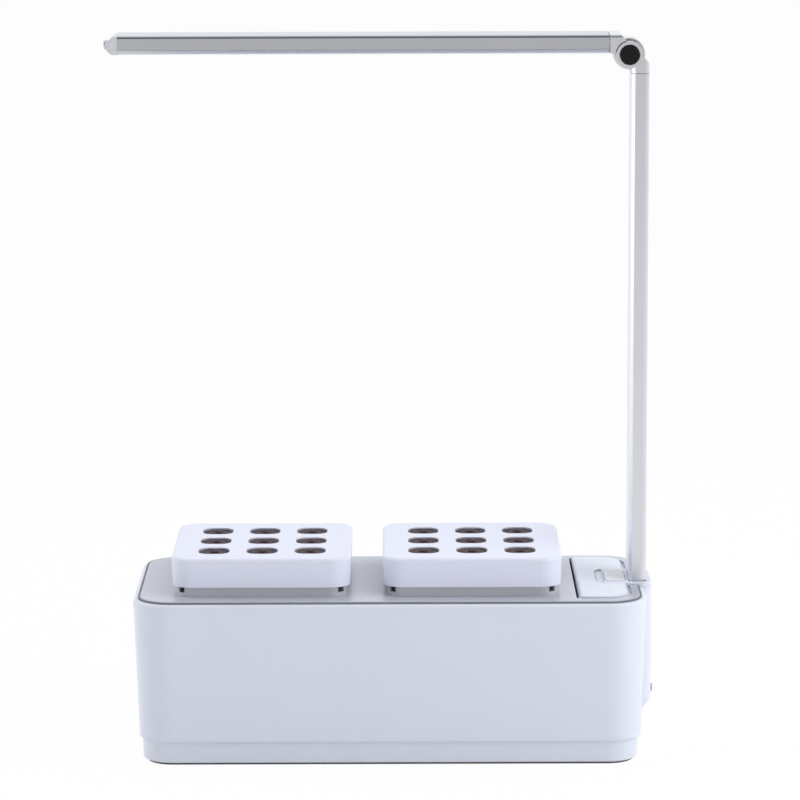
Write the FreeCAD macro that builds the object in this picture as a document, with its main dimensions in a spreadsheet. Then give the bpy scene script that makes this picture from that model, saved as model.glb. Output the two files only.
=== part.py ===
"""Countertop hydroponic garden with two planting baskets and a folding grow lamp.

Millimetres, +Z up, +X towards the lamp post, -Y towards the viewer.
The origin is the centre of the foot ring, on the surface that the garden stands on.
"""

import FreeCAD, Part
import math
import os

import Sketcher

Vector = FreeCAD.Vector

# Driving dimensions
SIZES = {
    "housing_length": 290.0,
    "housing_depth": 129.0,
    "rim_height": 93.5,
    "wall_lean": 3.4,
    "corner_radius": 22.0,
    "wall": 2.4,
    "rim_width": 2.8,
    "rim_round": 2.2,
    "seam_height": 14.3,
    "seam_gap": 0.3,
    "tray_inset": 1.5,
    "tray_wall": 2.2,
    "tray_floor": 2.2,
    "tray_round": 1.2,
    "foot_stand": 1.4,
    "foot_seat": 0.6,
    "foot_width": 7.5,
    "foot_inset": 2.5,
    "rib_thickness": 2.0,
    "rib_end_margin": 51.0,
    "boss_radius": 3.4,
    "boss_offset": 7.4,
    "boss_top": 36.0,
    "gusset_reach": 8.6,
    "screw_radius": 1.25,
    "screw_head_radius": 2.2,
    "screw_head_height": 1.8,
    "screw_length": 19.0,
    "screw_play": 0.05,
    "shank_play": 0.15,
    "head_play": 0.2,
    "head_sink": 0.4,
    "ledge_width": 4.0,
    "ledge_height": 4.0,
    "seal_width": 0.9,
    "seal_rise": 2.7,
    "seal_play": 0.05,
    "deck_rise": 1.3,
    "deck_thickness": 3.0,
    "deck_round": 0.8,
    "tank_end_clearance": 6.3,
    "tank_side_clearance": 4.3,
    "tank_radius": 22.0,
    "tank_wall": 1.8,
    "tank_floor_height": 16.0,
    "tank_head_room": 1.8,
    "tank_gap": 2.0,
    "basket_half": 43.5,
    "basket_radius": 8.0,
    "basket_play": 0.3,
    "basket_wall": 1.6,
    "basket_depth": 25.4,
    "collar_half": 47.7,
    "collar_radius": 9.0,
    "collar_height": 19.7,
    "collar_slot_width": 4.5,
    "collar_slot_rise": 0.5,
    "collar_slot_height": 6.6,
    "slot_width": 3.4,
    "slot_pitch": 8.2,
    "slot_reach": 36.0,
    "grid_thickness": 2.0,
    "plug_side": 18.8,
    "plug_radius": 7.0,
    "plug_height": 45.0,
    "plug_play": 0.3,
    "seed_radius": 2.5,
    "seed_depth": 8.0,
    "hole_pitch": 27.3,
    "hole_side": 17.6,
    "hole_radius": 6.2,
    "hole_relief": 1.2,
    "hole_lip": 0.8,
    "lid_half": 50.7,
    "lid_lean": 0.6,
    "lid_radius": 12.0,
    "lid_wall": 1.6,
    "lid_roof": 2.6,
    "lid_skirt": 13.9,
    "lid_round": 1.8,
    "hatch_axis_inset": 36.1,
    "hatch_axis_drop": 1.5,
    "hatch_nose": 2.5,
    "hatch_gap": 1.3,
    "hatch_end_margin": 10.4,
    "hatch_end_gap": 2.4,
    "hatch_side_margin": 7.9,
    "hatch_corner": 13.0,
    "hatch_sink": 1.2,
    "hatch_play": 0.4,
    "hatch_round": 0.7,
    "pin_radius": 0.8,
    "pin_play": 0.05,
    "pin_seat": 2.5,
    "fill_end_ledge": 3.6,
    "fill_side_ledge": 5.0,
    "bay_inset": 26.5,
    "bay_half": 19.0,
    "bay_bottom": 20.0,
    "bay_wall": 2.0,
    "bay_screen": 1.2,
    "cover_seat": 0.3,
    "cover_thickness": 2.8,
    "cover_corner": 6.0,
    "cover_round": 0.8,
    "cover_play": 0.1,
    "finger_length": 3.8,
    "finger_depth": 1.2,
    "pilaster_reach": 4.6,
    "pilaster_half": 18.0,
    "pilaster_round": 7.0,
    "pilaster_foot": 27.4,
    "pilaster_slant": 6.8,
    "board_pocket_depth": 13.4,
    "board_standoff": 4.0,
    "board_thickness": 1.6,
    "board_width": 11.6,
    "board_depth": 30.0,
    "board_screw_radius": 1.0,
    "board_screw_head": 1.9,
    "board_screw_head_height": 1.2,
    "board_screw_length": 4.4,
    "board_screw_tip": 0.4,
    "board_screw_inset": 3.0,
    "switch_side": 6.0,
    "switch_height": 3.6,
    "plunger_radius": 1.6,
    "plunger_play": 0.35,
    "plunger_rise": 1.2,
    "plunger_sink": 1.3,
    "button_width": 11.7,
    "button_depth": 28.6,
    "button_corner": 2.5,
    "button_rise": 0.4,
    "button_play": 0.3,
    "button_end_gap": 1.5,
    "button_flange_reach": 0.9,
    "button_flange_back": 0.6,
    "button_stem_radius": 2.6,
    "button_flange": 0.8,
    "button_skin": 1.6,
    "button_travel": 0.8,
    "shaft_half": 8.0,
    "link_half": 6.0,
    "link_depth": 16.0,
    "inlet_height": 30.0,
    "inlet_radius": 3.2,
    "inlet_nose_radius": 2.3,
    "inlet_nose_reach": 1.5,
    "inlet_bore": 1.8,
    "inlet_bore_depth": 9.0,
    "inlet_back": 1.6,
    "inlet_pin_sink": 1.0,
    "inlet_pin_radius": 0.65,
    "inlet_skin": 1.4,
    "lead_radius": 1.1,
    "lead_play": 0.1,
    "arm_lead_tail": 6.0,
    "arm_lead_tip": 2.0,
    "post_inset": 8.5,
    "bar_thickness": 9.8,
    "bar_width": 30.0,
    "bar_wall": 1.2,
    "bar_round": 3.0,
    "bar_bevel": 1.7,
    "bar_reveal": 0.35,
    "arm_round": 1.5,
    "post_socket": 40.4,
    "post_play": 0.2,
    "post_screw_radius": 1.5,
    "post_screw_head": 2.6,
    "post_screw_head_height": 1.6,
    "post_screw_rise": 7.0,
    "post_screw_pitch": 13.0,
    "hinge_inset": 1.4,
    "hinge_drop": 11.2,
    "knuckle_height": 10.7,
    "shoulder_drop": 1.2,
    "ear_radius": 7.5,
    "ear_thickness": 7.0,
    "ear_gap": 0.6,
    "tongue_radius": 8.8,
    "tongue_gap": 0.4,
    "washer_thickness": 0.28,
    "washer_radius": 6.0,
    "washer_play": 0.02,
    "bolt_radius": 2.0,
    "bolt_play": 0.05,
    "bolt_bite": 1.2,
    "bolt_end_sink": 0.6,
    "knob_radius": 5.5,
    "knob_play": 0.3,
    "knob_seat": 2.0,
    "knob_reach": 1.0,
    "knob_groove": 0.5,
    "knob_pitch": 2.2,
    "nut_radius": 4.0,
    "nut_depth": 3.2,
    "nut_sink": 0.4,
    "spigot_length": 12.0,
    "spigot_play": 0.1,
    "channel_radius": 2.2,
    "knuckle_drop": 2.4,
    "knuckle_step": 0.2,
    "knuckle_reach": 11.4,
    "lamp_length": 275.1,
    "arm_top": 407.8,
    "line_height": 0.9,
    "line_depth": 0.5,
    "lip_height": 2.8,
    "lip_reach": 1.5,
    "diffuser_drop": 0.8,
    "diffuser_flange": 0.8,
    "diffuser_play": 0.1,
    "led_board_width": 22.0,
    "led_pitch": 21.0,
    "led_row": 6.0,
    "led_side": 3.0,
    "led_height": 1.0,
    "cap_length": 6.5,
    "cap_shoulder": 1.9,
    "cap_corner": 3.0,
    "cap_bend": 3.4,
    "nub_radius": 2.6,
    "nub_drop": 0.6,
    "nub_reach": 2.0,
}

PLUGS_PER_SIDE = 3
FLOOR_SLOTS = 9
LEDS_PER_ROW = 12
KNOB_GROOVES = 4
KNOB_GROOVE_TURN = 38.0
RIBS = 3

# The parts of the free deck length left of the first lid and between the two lids
END_SHARE = 0.417
GAP_SHARE = 0.404


class Size:
    """A length: its number, and the sheet formula that gives it."""

    def __init__(self, number, text):
        self.number = number
        self.text = text

    def __add__(self, other):
        other = as_size(other)
        return Size(self.number + other.number, f"({self.text} + {other.text})")

    def __sub__(self, other):
        other = as_size(other)
        return Size(self.number - other.number, f"({self.text} - {other.text})")

    def __mul__(self, other):
        other = as_size(other)
        return Size(self.number * other.number, f"({self.text} * {other.text})")

    def __truediv__(self, other):
        other = as_size(other)
        return Size(self.number / other.number, f"({self.text} / {other.text})")

    def __radd__(self, other):
        return as_size(other) + self

    def __rsub__(self, other):
        return as_size(other) - self

    def __rmul__(self, other):
        return as_size(other) * self

    def __neg__(self):
        return as_size(0.0) - self


def as_size(value):
    """A plain number as a Size, or a Size as it is."""
    return value if isinstance(value, Size) else Size(float(value), f"({float(value)})")


class Sheet:
    """The spreadsheet's cells, each read by its alias."""

    def __init__(self, doc, numbers):
        self.cells = doc.addObject("Spreadsheet::Sheet", "Sizes")
        for row, (alias, number) in enumerate(numbers.items(), start=1):
            self.cells.set(f"A{row}", alias)
            self.cells.set(f"B{row}", str(number))
            self.cells.setAlias(f"B{row}", alias)
        doc.recompute()

    def __getattr__(self, alias):
        return Size(float(self.cells.get(alias)), f"Sizes.{alias}")


doc = FreeCAD.newDocument("hydroponic_garden")
s = Sheet(doc, SIZES)
NODES = []


def bind(item, name, value):
    """Tie one property or constraint of an item to the sheet."""
    item.setExpression(name, as_size(value).text)


def new_body(label):
    """An empty body that becomes one node."""
    body = doc.addObject("PartDesign::Body", label)
    body.Label = label
    NODES.append(body)
    return body


def sketch_on(body, plane, across, along, out):
    """A sketch on one of the body's own planes, moved to its place."""
    sketch = body.newObject("Sketcher::SketchObject", f"{body.Name}_sketch")
    origin_plane = next(f for f in body.Origin.OriginFeatures if f.Role == plane)
    sketch.AttachmentSupport = [(origin_plane, "")]
    sketch.MapMode = "FlatFace"
    bind(sketch, "AttachmentOffset.Base.x", across)
    bind(sketch, "AttachmentOffset.Base.y", along)
    bind(sketch, "AttachmentOffset.Base.z", out)
    return sketch


def constrain(sketch, kind, *parts):
    """Add a constraint whose last value is a Size."""
    *where, value = parts
    value = as_size(value)
    number = sketch.addConstraint(Sketcher.Constraint(kind, *where, value.number))
    sketch.setExpression(f"Constraints[{number}]", value.text)


def draw_outline(sketch, points):
    """A closed outline of straight lines with each corner dimensioned."""
    corners = [(as_size(x), as_size(y)) for x, y in points]
    flat = [Vector(x.number, y.number, 0) for x, y in corners]
    lines = []
    for first, second in zip(flat, flat[1:] + flat[:1]):
        lines.append(sketch.addGeometry(Part.LineSegment(first, second), False))
    for line, following in zip(lines, lines[1:] + lines[:1]):
        sketch.addConstraint(Sketcher.Constraint("Coincident", line, 2, following, 1))
    for line, (x, y) in zip(lines, corners):
        constrain(sketch, "DistanceX", -1, 1, line, 1, x)
        constrain(sketch, "DistanceY", -1, 1, line, 1, y)


def draw_round_box(sketch, box, radius):
    """A rectangle with round corners, from its low and high corner."""
    low_x, low_y, high_x, high_y = (as_size(value) for value in box)
    radius = as_size(radius)
    centres = [
        (high_x - radius, high_y - radius),
        (low_x + radius, high_y - radius),
        (low_x + radius, low_y + radius),
        (high_x - radius, low_y + radius),
    ]
    arcs = []
    for quarter, (x, y) in enumerate(centres):
        circle = Part.Circle(Vector(x.number, y.number, 0), Vector(0, 0, 1), radius.number)
        start = quarter * math.pi / 2
        arc = Part.ArcOfCircle(circle, start, start + math.pi / 2)
        arcs.append(sketch.addGeometry(arc, False))
    lines = []
    for arc, following in zip(arcs, arcs[1:] + arcs[:1]):
        start, end = sketch.getPoint(arc, 2), sketch.getPoint(following, 1)
        lines.append(sketch.addGeometry(Part.LineSegment(start, end), False))
    for side, line in enumerate(lines):
        sketch.addConstraint(Sketcher.Constraint("Tangent", arcs[side], 2, line, 1))
        sketch.addConstraint(Sketcher.Constraint("Tangent", line, 2, arcs[(side + 1) % 4], 1))
        level = "Vertical" if side % 2 else "Horizontal"
        sketch.addConstraint(Sketcher.Constraint(level, line))
        if side:
            sketch.addConstraint(Sketcher.Constraint("Equal", arcs[0], arcs[side]))
    constrain(sketch, "Radius", arcs[0], radius)
    for arc, (x, y) in ((arcs[0], centres[0]), (arcs[2], centres[2])):
        constrain(sketch, "DistanceX", -1, 1, arc, 3, x)
        constrain(sketch, "DistanceY", -1, 1, arc, 3, y)


def draw_circle(sketch, x, y, radius):
    """A circle with its centre and radius dimensioned."""
    x, y, radius = as_size(x), as_size(y), as_size(radius)
    centre = Vector(x.number, y.number, 0)
    circle = sketch.addGeometry(Part.Circle(centre, Vector(0, 0, 1), radius.number), False)
    constrain(sketch, "Radius", circle, radius)
    constrain(sketch, "DistanceX", -1, 1, circle, 3, x)
    constrain(sketch, "DistanceY", -1, 1, circle, 3, y)


def flat_sketch(body, height):
    """A level sketch: its own axes are X and Y."""
    return sketch_on(body, "XY_Plane", 0, 0, height)


def front_sketch(body, y):
    """An upright sketch that faces the viewer: its axes are X and Z, its normal is -Y."""
    return sketch_on(body, "XZ_Plane", 0, 0, -as_size(y))


def end_sketch(body, x):
    """An upright sketch across the garden: its axes are Y and Z, its normal is +X."""
    return sketch_on(body, "YZ_Plane", 0, 0, x)


def pad(body, sketch, length):
    """Add material from a sketch along its normal."""
    feature = body.newObject("PartDesign::Pad", f"{body.Name}_pad")
    feature.Profile = sketch
    bind(feature, "Length", length)
    sketch.Visibility = False
    return feature


def pocket(body, sketch, length):
    """Take material away from a sketch along its normal."""
    feature = body.newObject("PartDesign::Pocket", f"{body.Name}_pocket")
    feature.Profile = sketch
    feature.Reversed = True
    bind(feature, "Length", length)
    sketch.Visibility = False
    return feature


def lean_outward(feature, lean, height):
    """Let the sides of a pad or pocket widen upwards by a lean over a height."""
    feature.TaperAngle = math.degrees(math.atan(lean.number / height.number))
    feature.setExpression("TaperAngle", f"atan({lean.text} / {height.text})")


def slab(body, box, low, high, radius=None):
    """Add a flat block between two heights."""
    sketch = flat_sketch(body, low)
    draw_box(sketch, box, radius)
    return pad(body, sketch, high - low)


def well(body, boxes, low, high, radius=None):
    """Cut straight-walled openings between two heights."""
    sketch = flat_sketch(body, low)
    for box in boxes:
        draw_box(sketch, box, radius)
    return pocket(body, sketch, high - low)


def draw_box(sketch, box, radius=None):
    """A rectangle with sharp or round corners."""
    if radius is not None:
        draw_round_box(sketch, box, radius)
        return
    low_x, low_y, high_x, high_y = box
    draw_outline(sketch, [(low_x, low_y), (high_x, low_y), (high_x, high_y), (low_x, high_y)])


def repeat(body, feature, across, along=None):
    """Repeat a feature along its sketch's axes: each given as a count and a pitch."""
    pattern = body.newObject("PartDesign::LinearPattern", f"{body.Name}_pattern")
    pattern.Originals = [feature]
    count, pitch = across
    pattern.Direction = (feature.Profile[0], ["H_Axis"])
    pattern.Occurrences = count
    bind(pattern, "Length", pitch * (count - 1))
    if along:
        count, pitch = along
        pattern.Direction2 = (feature.Profile[0], ["V_Axis"])
        pattern.Occurrences2 = count
        bind(pattern, "Length2", pitch * (count - 1))
    body.Tip = pattern
    return pattern


def around(x, y, half_length, half_depth=None):
    """The box that lies evenly about a point."""
    half_depth = half_length if half_depth is None else half_depth
    return (x - half_length, y - half_depth, x + half_length, y + half_depth)


def dress_edges(body, kind, size, chosen):
    """Round or bevel the edges of the body's last feature that a test picks."""
    doc.recompute()
    base = body.Tip
    names = [f"Edge{i}" for i, edge in enumerate(base.Shape.Edges, start=1) if chosen(edge)]
    feature = body.newObject(f"PartDesign::{kind}", f"{body.Name}_{kind.lower()}")
    feature.Base = (base, names)
    bind(feature, "Radius" if kind == "Fillet" else "Size", size)
    return feature


def near(first, second, reach=0.01):
    """Whether two numbers are the same to a hundredth."""
    return abs(first - second) < reach


def all_points(edge, test):
    """Whether both ends and the middle of an edge pass a test."""
    middle = edge.valueAt((edge.FirstParameter + edge.LastParameter) / 2)
    return test(middle) and all(test(vertex.Point) for vertex in edge.Vertexes)


def at_height(edge, height):
    """Whether an edge lies level at a height."""
    return all_points(edge, lambda point: near(point.z, height.number))


def upright_at(edge, x):
    """Whether an edge runs straight up at one X."""
    return all_points(edge, lambda point: near(point.x, x.number)) and near(
        edge.BoundBox.YLength, 0
    )


def rod(name, radius, start, length, axis):
    """A cylinder along X, Y or Z from its start point."""
    turns = {
        "x": FreeCAD.Rotation(Vector(0, 1, 0), 90),
        "y": FreeCAD.Rotation(Vector(1, 0, 0), -90),
        "z": FreeCAD.Rotation(),
    }
    cylinder = doc.addObject("Part::Cylinder", name)
    cylinder.Placement = FreeCAD.Placement(Vector(), turns[axis])
    bind(cylinder, "Radius", radius)
    bind(cylinder, "Height", length)
    for letter, value in zip("xyz", start):
        bind(cylinder, f"Placement.Base.{letter}", value)
    return cylinder


def block(name, low, size):
    """A box from its low corner and its three sizes."""
    box = doc.addObject("Part::Box", name)
    for prop, value in zip(("Length", "Width", "Height"), size):
        bind(box, prop, value)
    for letter, value in zip("xyz", low):
        bind(box, f"Placement.Base.{letter}", value)
    return box


def fuse(name, shapes):
    """Several primitives joined into one solid."""
    joined = doc.addObject("Part::MultiFuse", name)
    joined.Shapes = shapes
    joined.Refine = True
    return joined


def cut(name, base, tool):
    """One solid with another taken out of it."""
    remaining = doc.addObject("Part::Cut", name)
    remaining.Base = base
    remaining.Tool = tool
    return remaining


def node(item, label):
    """Name a finished item and keep it as a node."""
    item.Label = label
    NODES.append(item)
    return item


def group(label, items):
    """Like pieces kept together as one node of separate solids."""
    compound = doc.addObject("Part::Compound", label)
    compound.Links = items
    return node(compound, label)


# Places that several pieces share
half_length = s.housing_length / 2
half_depth = s.housing_depth / 2
deck_top = s.rim_height + s.deck_rise
deck_bottom = deck_top - s.deck_thickness
deck_half_length = half_length - s.rim_width - s.seal_width
deck_half_depth = half_depth - s.rim_width - s.seal_width
deck_radius = s.corner_radius - s.rim_width - s.seal_width
ledge_low = deck_bottom - s.ledge_height
ledge_half_length = deck_half_length - s.ledge_width
ledge_half_depth = deck_half_depth - s.ledge_width
tank_half_length = ledge_half_length - s.tank_end_clearance
tank_half_depth = ledge_half_depth - s.tank_side_clearance
tank_top = ledge_low - s.tank_head_room
hatch_axis_x = half_length - s.hatch_axis_inset
hatch_axis_z = deck_top - s.hatch_axis_drop
hatch_right = half_length - s.hatch_end_margin
hatch_half_depth = deck_half_depth - s.hatch_side_margin
hatch_bottom = deck_top - s.hatch_sink
hatch_top = hatch_axis_z + s.hatch_nose
hatch_left = hatch_axis_x - s.hatch_nose
recess_left = hatch_left - s.hatch_gap
recess_half = hatch_half_depth + s.hatch_play
fill_right = hatch_right - s.fill_end_ledge
fill_half_depth = hatch_half_depth - s.fill_side_ledge
free_length = deck_half_length + recess_left - s.lid_half * 4
basket_left_x = free_length * END_SHARE + s.lid_half - deck_half_length
basket_right_x = basket_left_x + s.lid_half * 2 + free_length * GAP_SHARE
basket_centres = {"left": basket_left_x, "right": basket_right_x}
basket_floor = deck_top - s.basket_depth
grid_bottom = deck_top + s.basket_wall
lid_under = deck_top + s.collar_height
lid_low = lid_under - s.lid_skirt
lid_top = lid_under + s.lid_roof
bay_left = half_length - s.bay_inset
pilaster_right = half_length + s.pilaster_reach
cover_bottom = s.rim_height - s.cover_seat
cover_top = cover_bottom + s.cover_thickness
post_left = half_length - s.post_inset
post_right = post_left + s.bar_thickness
post_middle = post_left + s.bar_thickness / 2
post_foot = cover_bottom - s.post_socket
link_floor = post_foot - s.link_depth
board_pocket_floor = cover_bottom - s.board_pocket_depth
board_bottom = board_pocket_floor + s.board_standoff
board_top = board_bottom + s.board_thickness
button_right = post_left - s.post_play - s.button_end_gap
button_left = button_right - s.button_width
switch_x = (button_left + button_right) / 2
shaft_right = post_left - s.post_play - s.bay_screen
pocket_left = bay_left + s.bay_wall
half_bar = s.bar_width / 2
hinge_x = post_left - s.hinge_inset
hinge_z = s.arm_top - s.hinge_drop
post_top = hinge_z - s.knuckle_height
arm_right = hinge_x - s.knuckle_reach
arm_left = arm_right - s.lamp_length
arm_bottom = s.arm_top - s.bar_thickness
tongue_half = half_bar - s.ear_thickness - s.washer_thickness - s.washer_play
ear_inner = half_bar - s.ear_thickness
boss_x = half_length - s.corner_radius + s.boss_offset
boss_y = half_depth - s.corner_radius + s.boss_offset
inlet_end = pilaster_right - s.inlet_skin
inlet_nose_end = pilaster_right + s.inlet_nose_reach
inlet_start = inlet_nose_end - s.inlet_bore_depth - s.inlet_back


def lean_at(height):
    """How far the leaning wall stands in at a height."""
    return s.wall_lean - s.wall_lean * height / s.rim_height


def wall_sketch(body, height, inset):
    """The housing's outline at a height, moved in by an inset."""
    shift = lean_at(height) + inset
    sketch = flat_sketch(body, height)
    outline = around(as_size(0), as_size(0), half_length - shift, half_depth - shift)
    draw_round_box(sketch, outline, s.corner_radius - shift)
    return sketch


def boss_places():
    """The four corner screw places."""
    return [(boss_x * x, boss_y * y) for x in (-1, 1) for y in (-1, 1)]


def make_housing():
    """The leaning shell with its rim, deck ledge, screw bosses, control bay and pilaster."""
    body = new_body("housing")
    shell = pad(body, wall_sketch(body, s.seam_height, as_size(0)),
                s.rim_height - s.seam_height)
    lean_outward(shell, s.wall_lean, s.rim_height)
    dress_edges(body, "Fillet", s.rim_round, lambda edge: at_height(edge, s.rim_height))
    cavity = pocket(body, wall_sketch(body, s.seam_height, s.wall), ledge_low - s.seam_height)
    lean_outward(cavity, s.wall_lean, s.rim_height)
    centre = as_size(0)
    well(body, [around(centre, centre, ledge_half_length, ledge_half_depth)],
         ledge_low, deck_bottom, deck_radius - s.ledge_width)
    well(body, [around(centre, centre, deck_half_length + s.seal_width,
                       deck_half_depth + s.seal_width)],
         deck_bottom, s.rim_height, deck_radius + s.seal_width)
    bosses = flat_sketch(body, s.seam_height)
    for x, y in boss_places():
        draw_circle(bosses, x, y, s.boss_radius)
    pad(body, bosses, s.boss_top - s.seam_height)
    gussets = flat_sketch(body, s.seam_height)
    for x, y in boss_places():
        outward = s.gusset_reach / 2 if y.number > 0 else -s.gusset_reach / 2
        draw_box(gussets, around(x, y + outward, s.rib_thickness / 2, s.gusset_reach / 2))
    pad(body, gussets, s.boss_top - s.seam_height)
    make_bay(body)
    holes = flat_sketch(body, s.seam_height)
    for x, y in boss_places():
        draw_circle(holes, x, y, s.screw_radius + s.screw_play)
    pocket(body, holes, s.screw_length)
    return body


def make_bay(body):
    """The control bay inside the right wall, with the pilaster that holds the lamp post."""
    slab(body, (bay_left, -s.bay_half, half_length - s.wall_lean, s.bay_half),
         s.bay_bottom, cover_bottom)
    inner = half_length - s.wall_lean - s.pilaster_round
    low = s.pilaster_foot - s.pilaster_slant
    slab(body, (inner, -s.pilaster_half, pilaster_right, s.pilaster_half),
         low, cover_bottom, s.pilaster_round)
    slant = front_sketch(body, s.pilaster_half)
    draw_outline(slant, [
        (pilaster_right - s.pilaster_slant, low), (pilaster_right, low),
        (pilaster_right, s.pilaster_foot),
    ])
    pocket(body, slant, s.pilaster_half * 2)
    cover_edge = pilaster_right + s.cover_corner * 2
    well(body, [(bay_left - s.cover_play, -s.bay_half - s.cover_play, cover_edge,
                 s.bay_half + s.cover_play)],
         cover_bottom, s.rim_height + 1, s.cover_corner)
    pocket_right = shaft_right
    pocket_half = s.bay_half - s.bay_wall
    well(body, [(pocket_left, -pocket_half, pocket_right, pocket_half)],
         board_pocket_floor, cover_bottom)
    well(body, [(pocket_left, -s.shaft_half, pocket_right, s.shaft_half)],
         s.bay_bottom + s.bay_wall, board_pocket_floor)
    slot = s.post_play
    well(body, [(post_left - slot, -half_bar - slot, post_right + slot, half_bar + slot)],
         post_foot, cover_bottom)
    well(body, [(pocket_right - 1, -s.link_half, post_right, s.link_half)],
         link_floor, post_foot)
    core_low = s.shaft_half + s.bay_wall
    core_high = s.bay_half - s.bay_wall
    well(body, [(pocket_left, core_low, pocket_right, core_high),
                (pocket_left, -core_high, pocket_right, -core_low)],
         low, board_pocket_floor - s.bay_wall)
    standoffs = flat_sketch(body, board_pocket_floor)
    for y in board_screw_places():
        draw_circle(standoffs, switch_x, y, s.board_screw_head)
    pad(body, standoffs, s.board_standoff)
    screws = flat_sketch(body, board_top - s.board_screw_length - s.board_screw_tip)
    for y in board_screw_places():
        draw_circle(screws, switch_x, y, s.board_screw_radius + s.screw_play)
    pocket(body, screws, s.board_screw_length)
    socket = end_sketch(body, pocket_right - 1)
    draw_circle(socket, 0, s.inlet_height, s.inlet_radius + s.screw_play)
    pocket(body, socket, inlet_end - pocket_right + 1)
    nose = end_sketch(body, inlet_end - 1)
    draw_circle(nose, 0, s.inlet_height, s.inlet_nose_radius + s.screw_play)
    pocket(body, nose, s.inlet_skin + 2)
    post_holes = end_sketch(body, pocket_right - 1)
    for height in post_screw_heights():
        draw_circle(post_holes, -s.link_half / 2, height, s.post_screw_radius + s.screw_play)
    pocket(body, post_holes, post_left - pocket_right + 1)


def board_screw_places():
    """The two board screws lie near the ends of the board."""
    reach = s.board_depth / 2 - s.board_screw_inset
    return [reach, -reach]


def post_screw_heights():
    """The two screws that hold the post in its socket."""
    lowest = post_foot + s.post_screw_rise
    return [lowest, lowest + s.post_screw_pitch]


def make_bottom_tray():
    """The base pan with its screw posts, tank ribs and the groove for the foot ring."""
    body = new_body("bottom_tray")
    top = s.seam_height - s.seam_gap
    floor_top = s.foot_stand + s.tray_floor
    pan = pad(body, wall_sketch(body, s.foot_stand, s.tray_inset), top - s.foot_stand)
    lean_outward(pan, s.wall_lean, s.rim_height)
    dress_edges(body, "Fillet", s.tray_round, lambda edge: at_height(edge, s.foot_stand))
    inset = s.tray_inset + s.tray_wall
    cavity = pocket(body, wall_sketch(body, floor_top, inset), top - floor_top)
    lean_outward(cavity, s.wall_lean, s.rim_height)
    posts = flat_sketch(body, floor_top - 1)
    for x, y in boss_places():
        draw_circle(posts, x, y, s.boss_radius)
    pad(body, posts, s.seam_height - floor_top + 1)
    spacing = (tank_half_length - s.rib_end_margin) * (2 / (RIBS - 1))
    for rib in range(RIBS):
        x = spacing * (rib - (RIBS - 1) / 2)
        slab(body, around(x, as_size(0), s.rib_thickness / 2, tank_half_depth - s.tank_radius / 2),
             floor_top - 1, s.tank_floor_height)
    groove = flat_sketch(body, s.foot_stand)
    draw_foot_ring(groove, as_size(0))
    pocket(body, groove, s.foot_seat)
    seat = s.foot_stand + s.foot_seat
    for radius, depth in ((s.screw_head_radius + s.head_play, s.screw_head_height + s.head_sink),
                          (s.screw_radius + s.shank_play, s.seam_height)):
        holes = flat_sketch(body, seat)
        for x, y in boss_places():
            draw_circle(holes, x, y, radius)
        pocket(body, holes, depth)
    return body


def draw_foot_ring(sketch, play):
    """Two outlines, one inside the other."""
    outer = lean_at(s.foot_stand) + s.tray_inset + s.foot_inset + play
    inner = outer + s.foot_width - play - play
    for inset in (outer, inner):
        outline = around(as_size(0), as_size(0), half_length - inset, half_depth - inset)
        draw_round_box(sketch, outline, s.corner_radius - inset)


def make_foot_ring():
    """The rubber ring that the garden stands on."""
    body = new_body("foot_ring")
    ring = flat_sketch(body, 0)
    draw_foot_ring(ring, s.seal_play)
    pad(body, ring, s.foot_stand + s.foot_seat)
    return body


def make_tray_screws():
    """Four screws under the foot ring that hold the tray to the housing."""
    head_low = s.foot_stand + s.foot_seat + s.head_sink
    screws = []
    for x, y in boss_places():
        head = rod("head", s.screw_head_radius, (x, y, head_low), s.screw_head_height, "z")
        shank = rod("shank", s.screw_radius, (x, y, head_low), s.screw_length, "z")
        screws.append(fuse("tray_screw", [head, shank]))
    return group("tray_screws", screws)


def make_water_tank():
    """The tub for the nutrient water, with a notch around the control bay."""
    body = new_body("water_tank")
    centre = as_size(0)
    slab(body, around(centre, centre, tank_half_length, tank_half_depth),
         s.tank_floor_height, tank_top, s.tank_radius)
    floor_top = s.tank_floor_height + s.tank_wall
    inner = around(centre, centre, tank_half_length - s.tank_wall, tank_half_depth - s.tank_wall)
    well(body, [inner], floor_top, tank_top, s.tank_radius - s.tank_wall)
    notch_left = bay_left - s.tank_gap
    notch_half = s.bay_half + s.tank_gap
    slab(body, (notch_left - s.tank_wall, -notch_half - s.tank_wall, tank_half_length,
                notch_half + s.tank_wall), s.tank_floor_height, tank_top)
    well(body, [(notch_left, -notch_half, tank_half_length + 1, notch_half)],
         s.tank_floor_height, tank_top)
    return body


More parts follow.
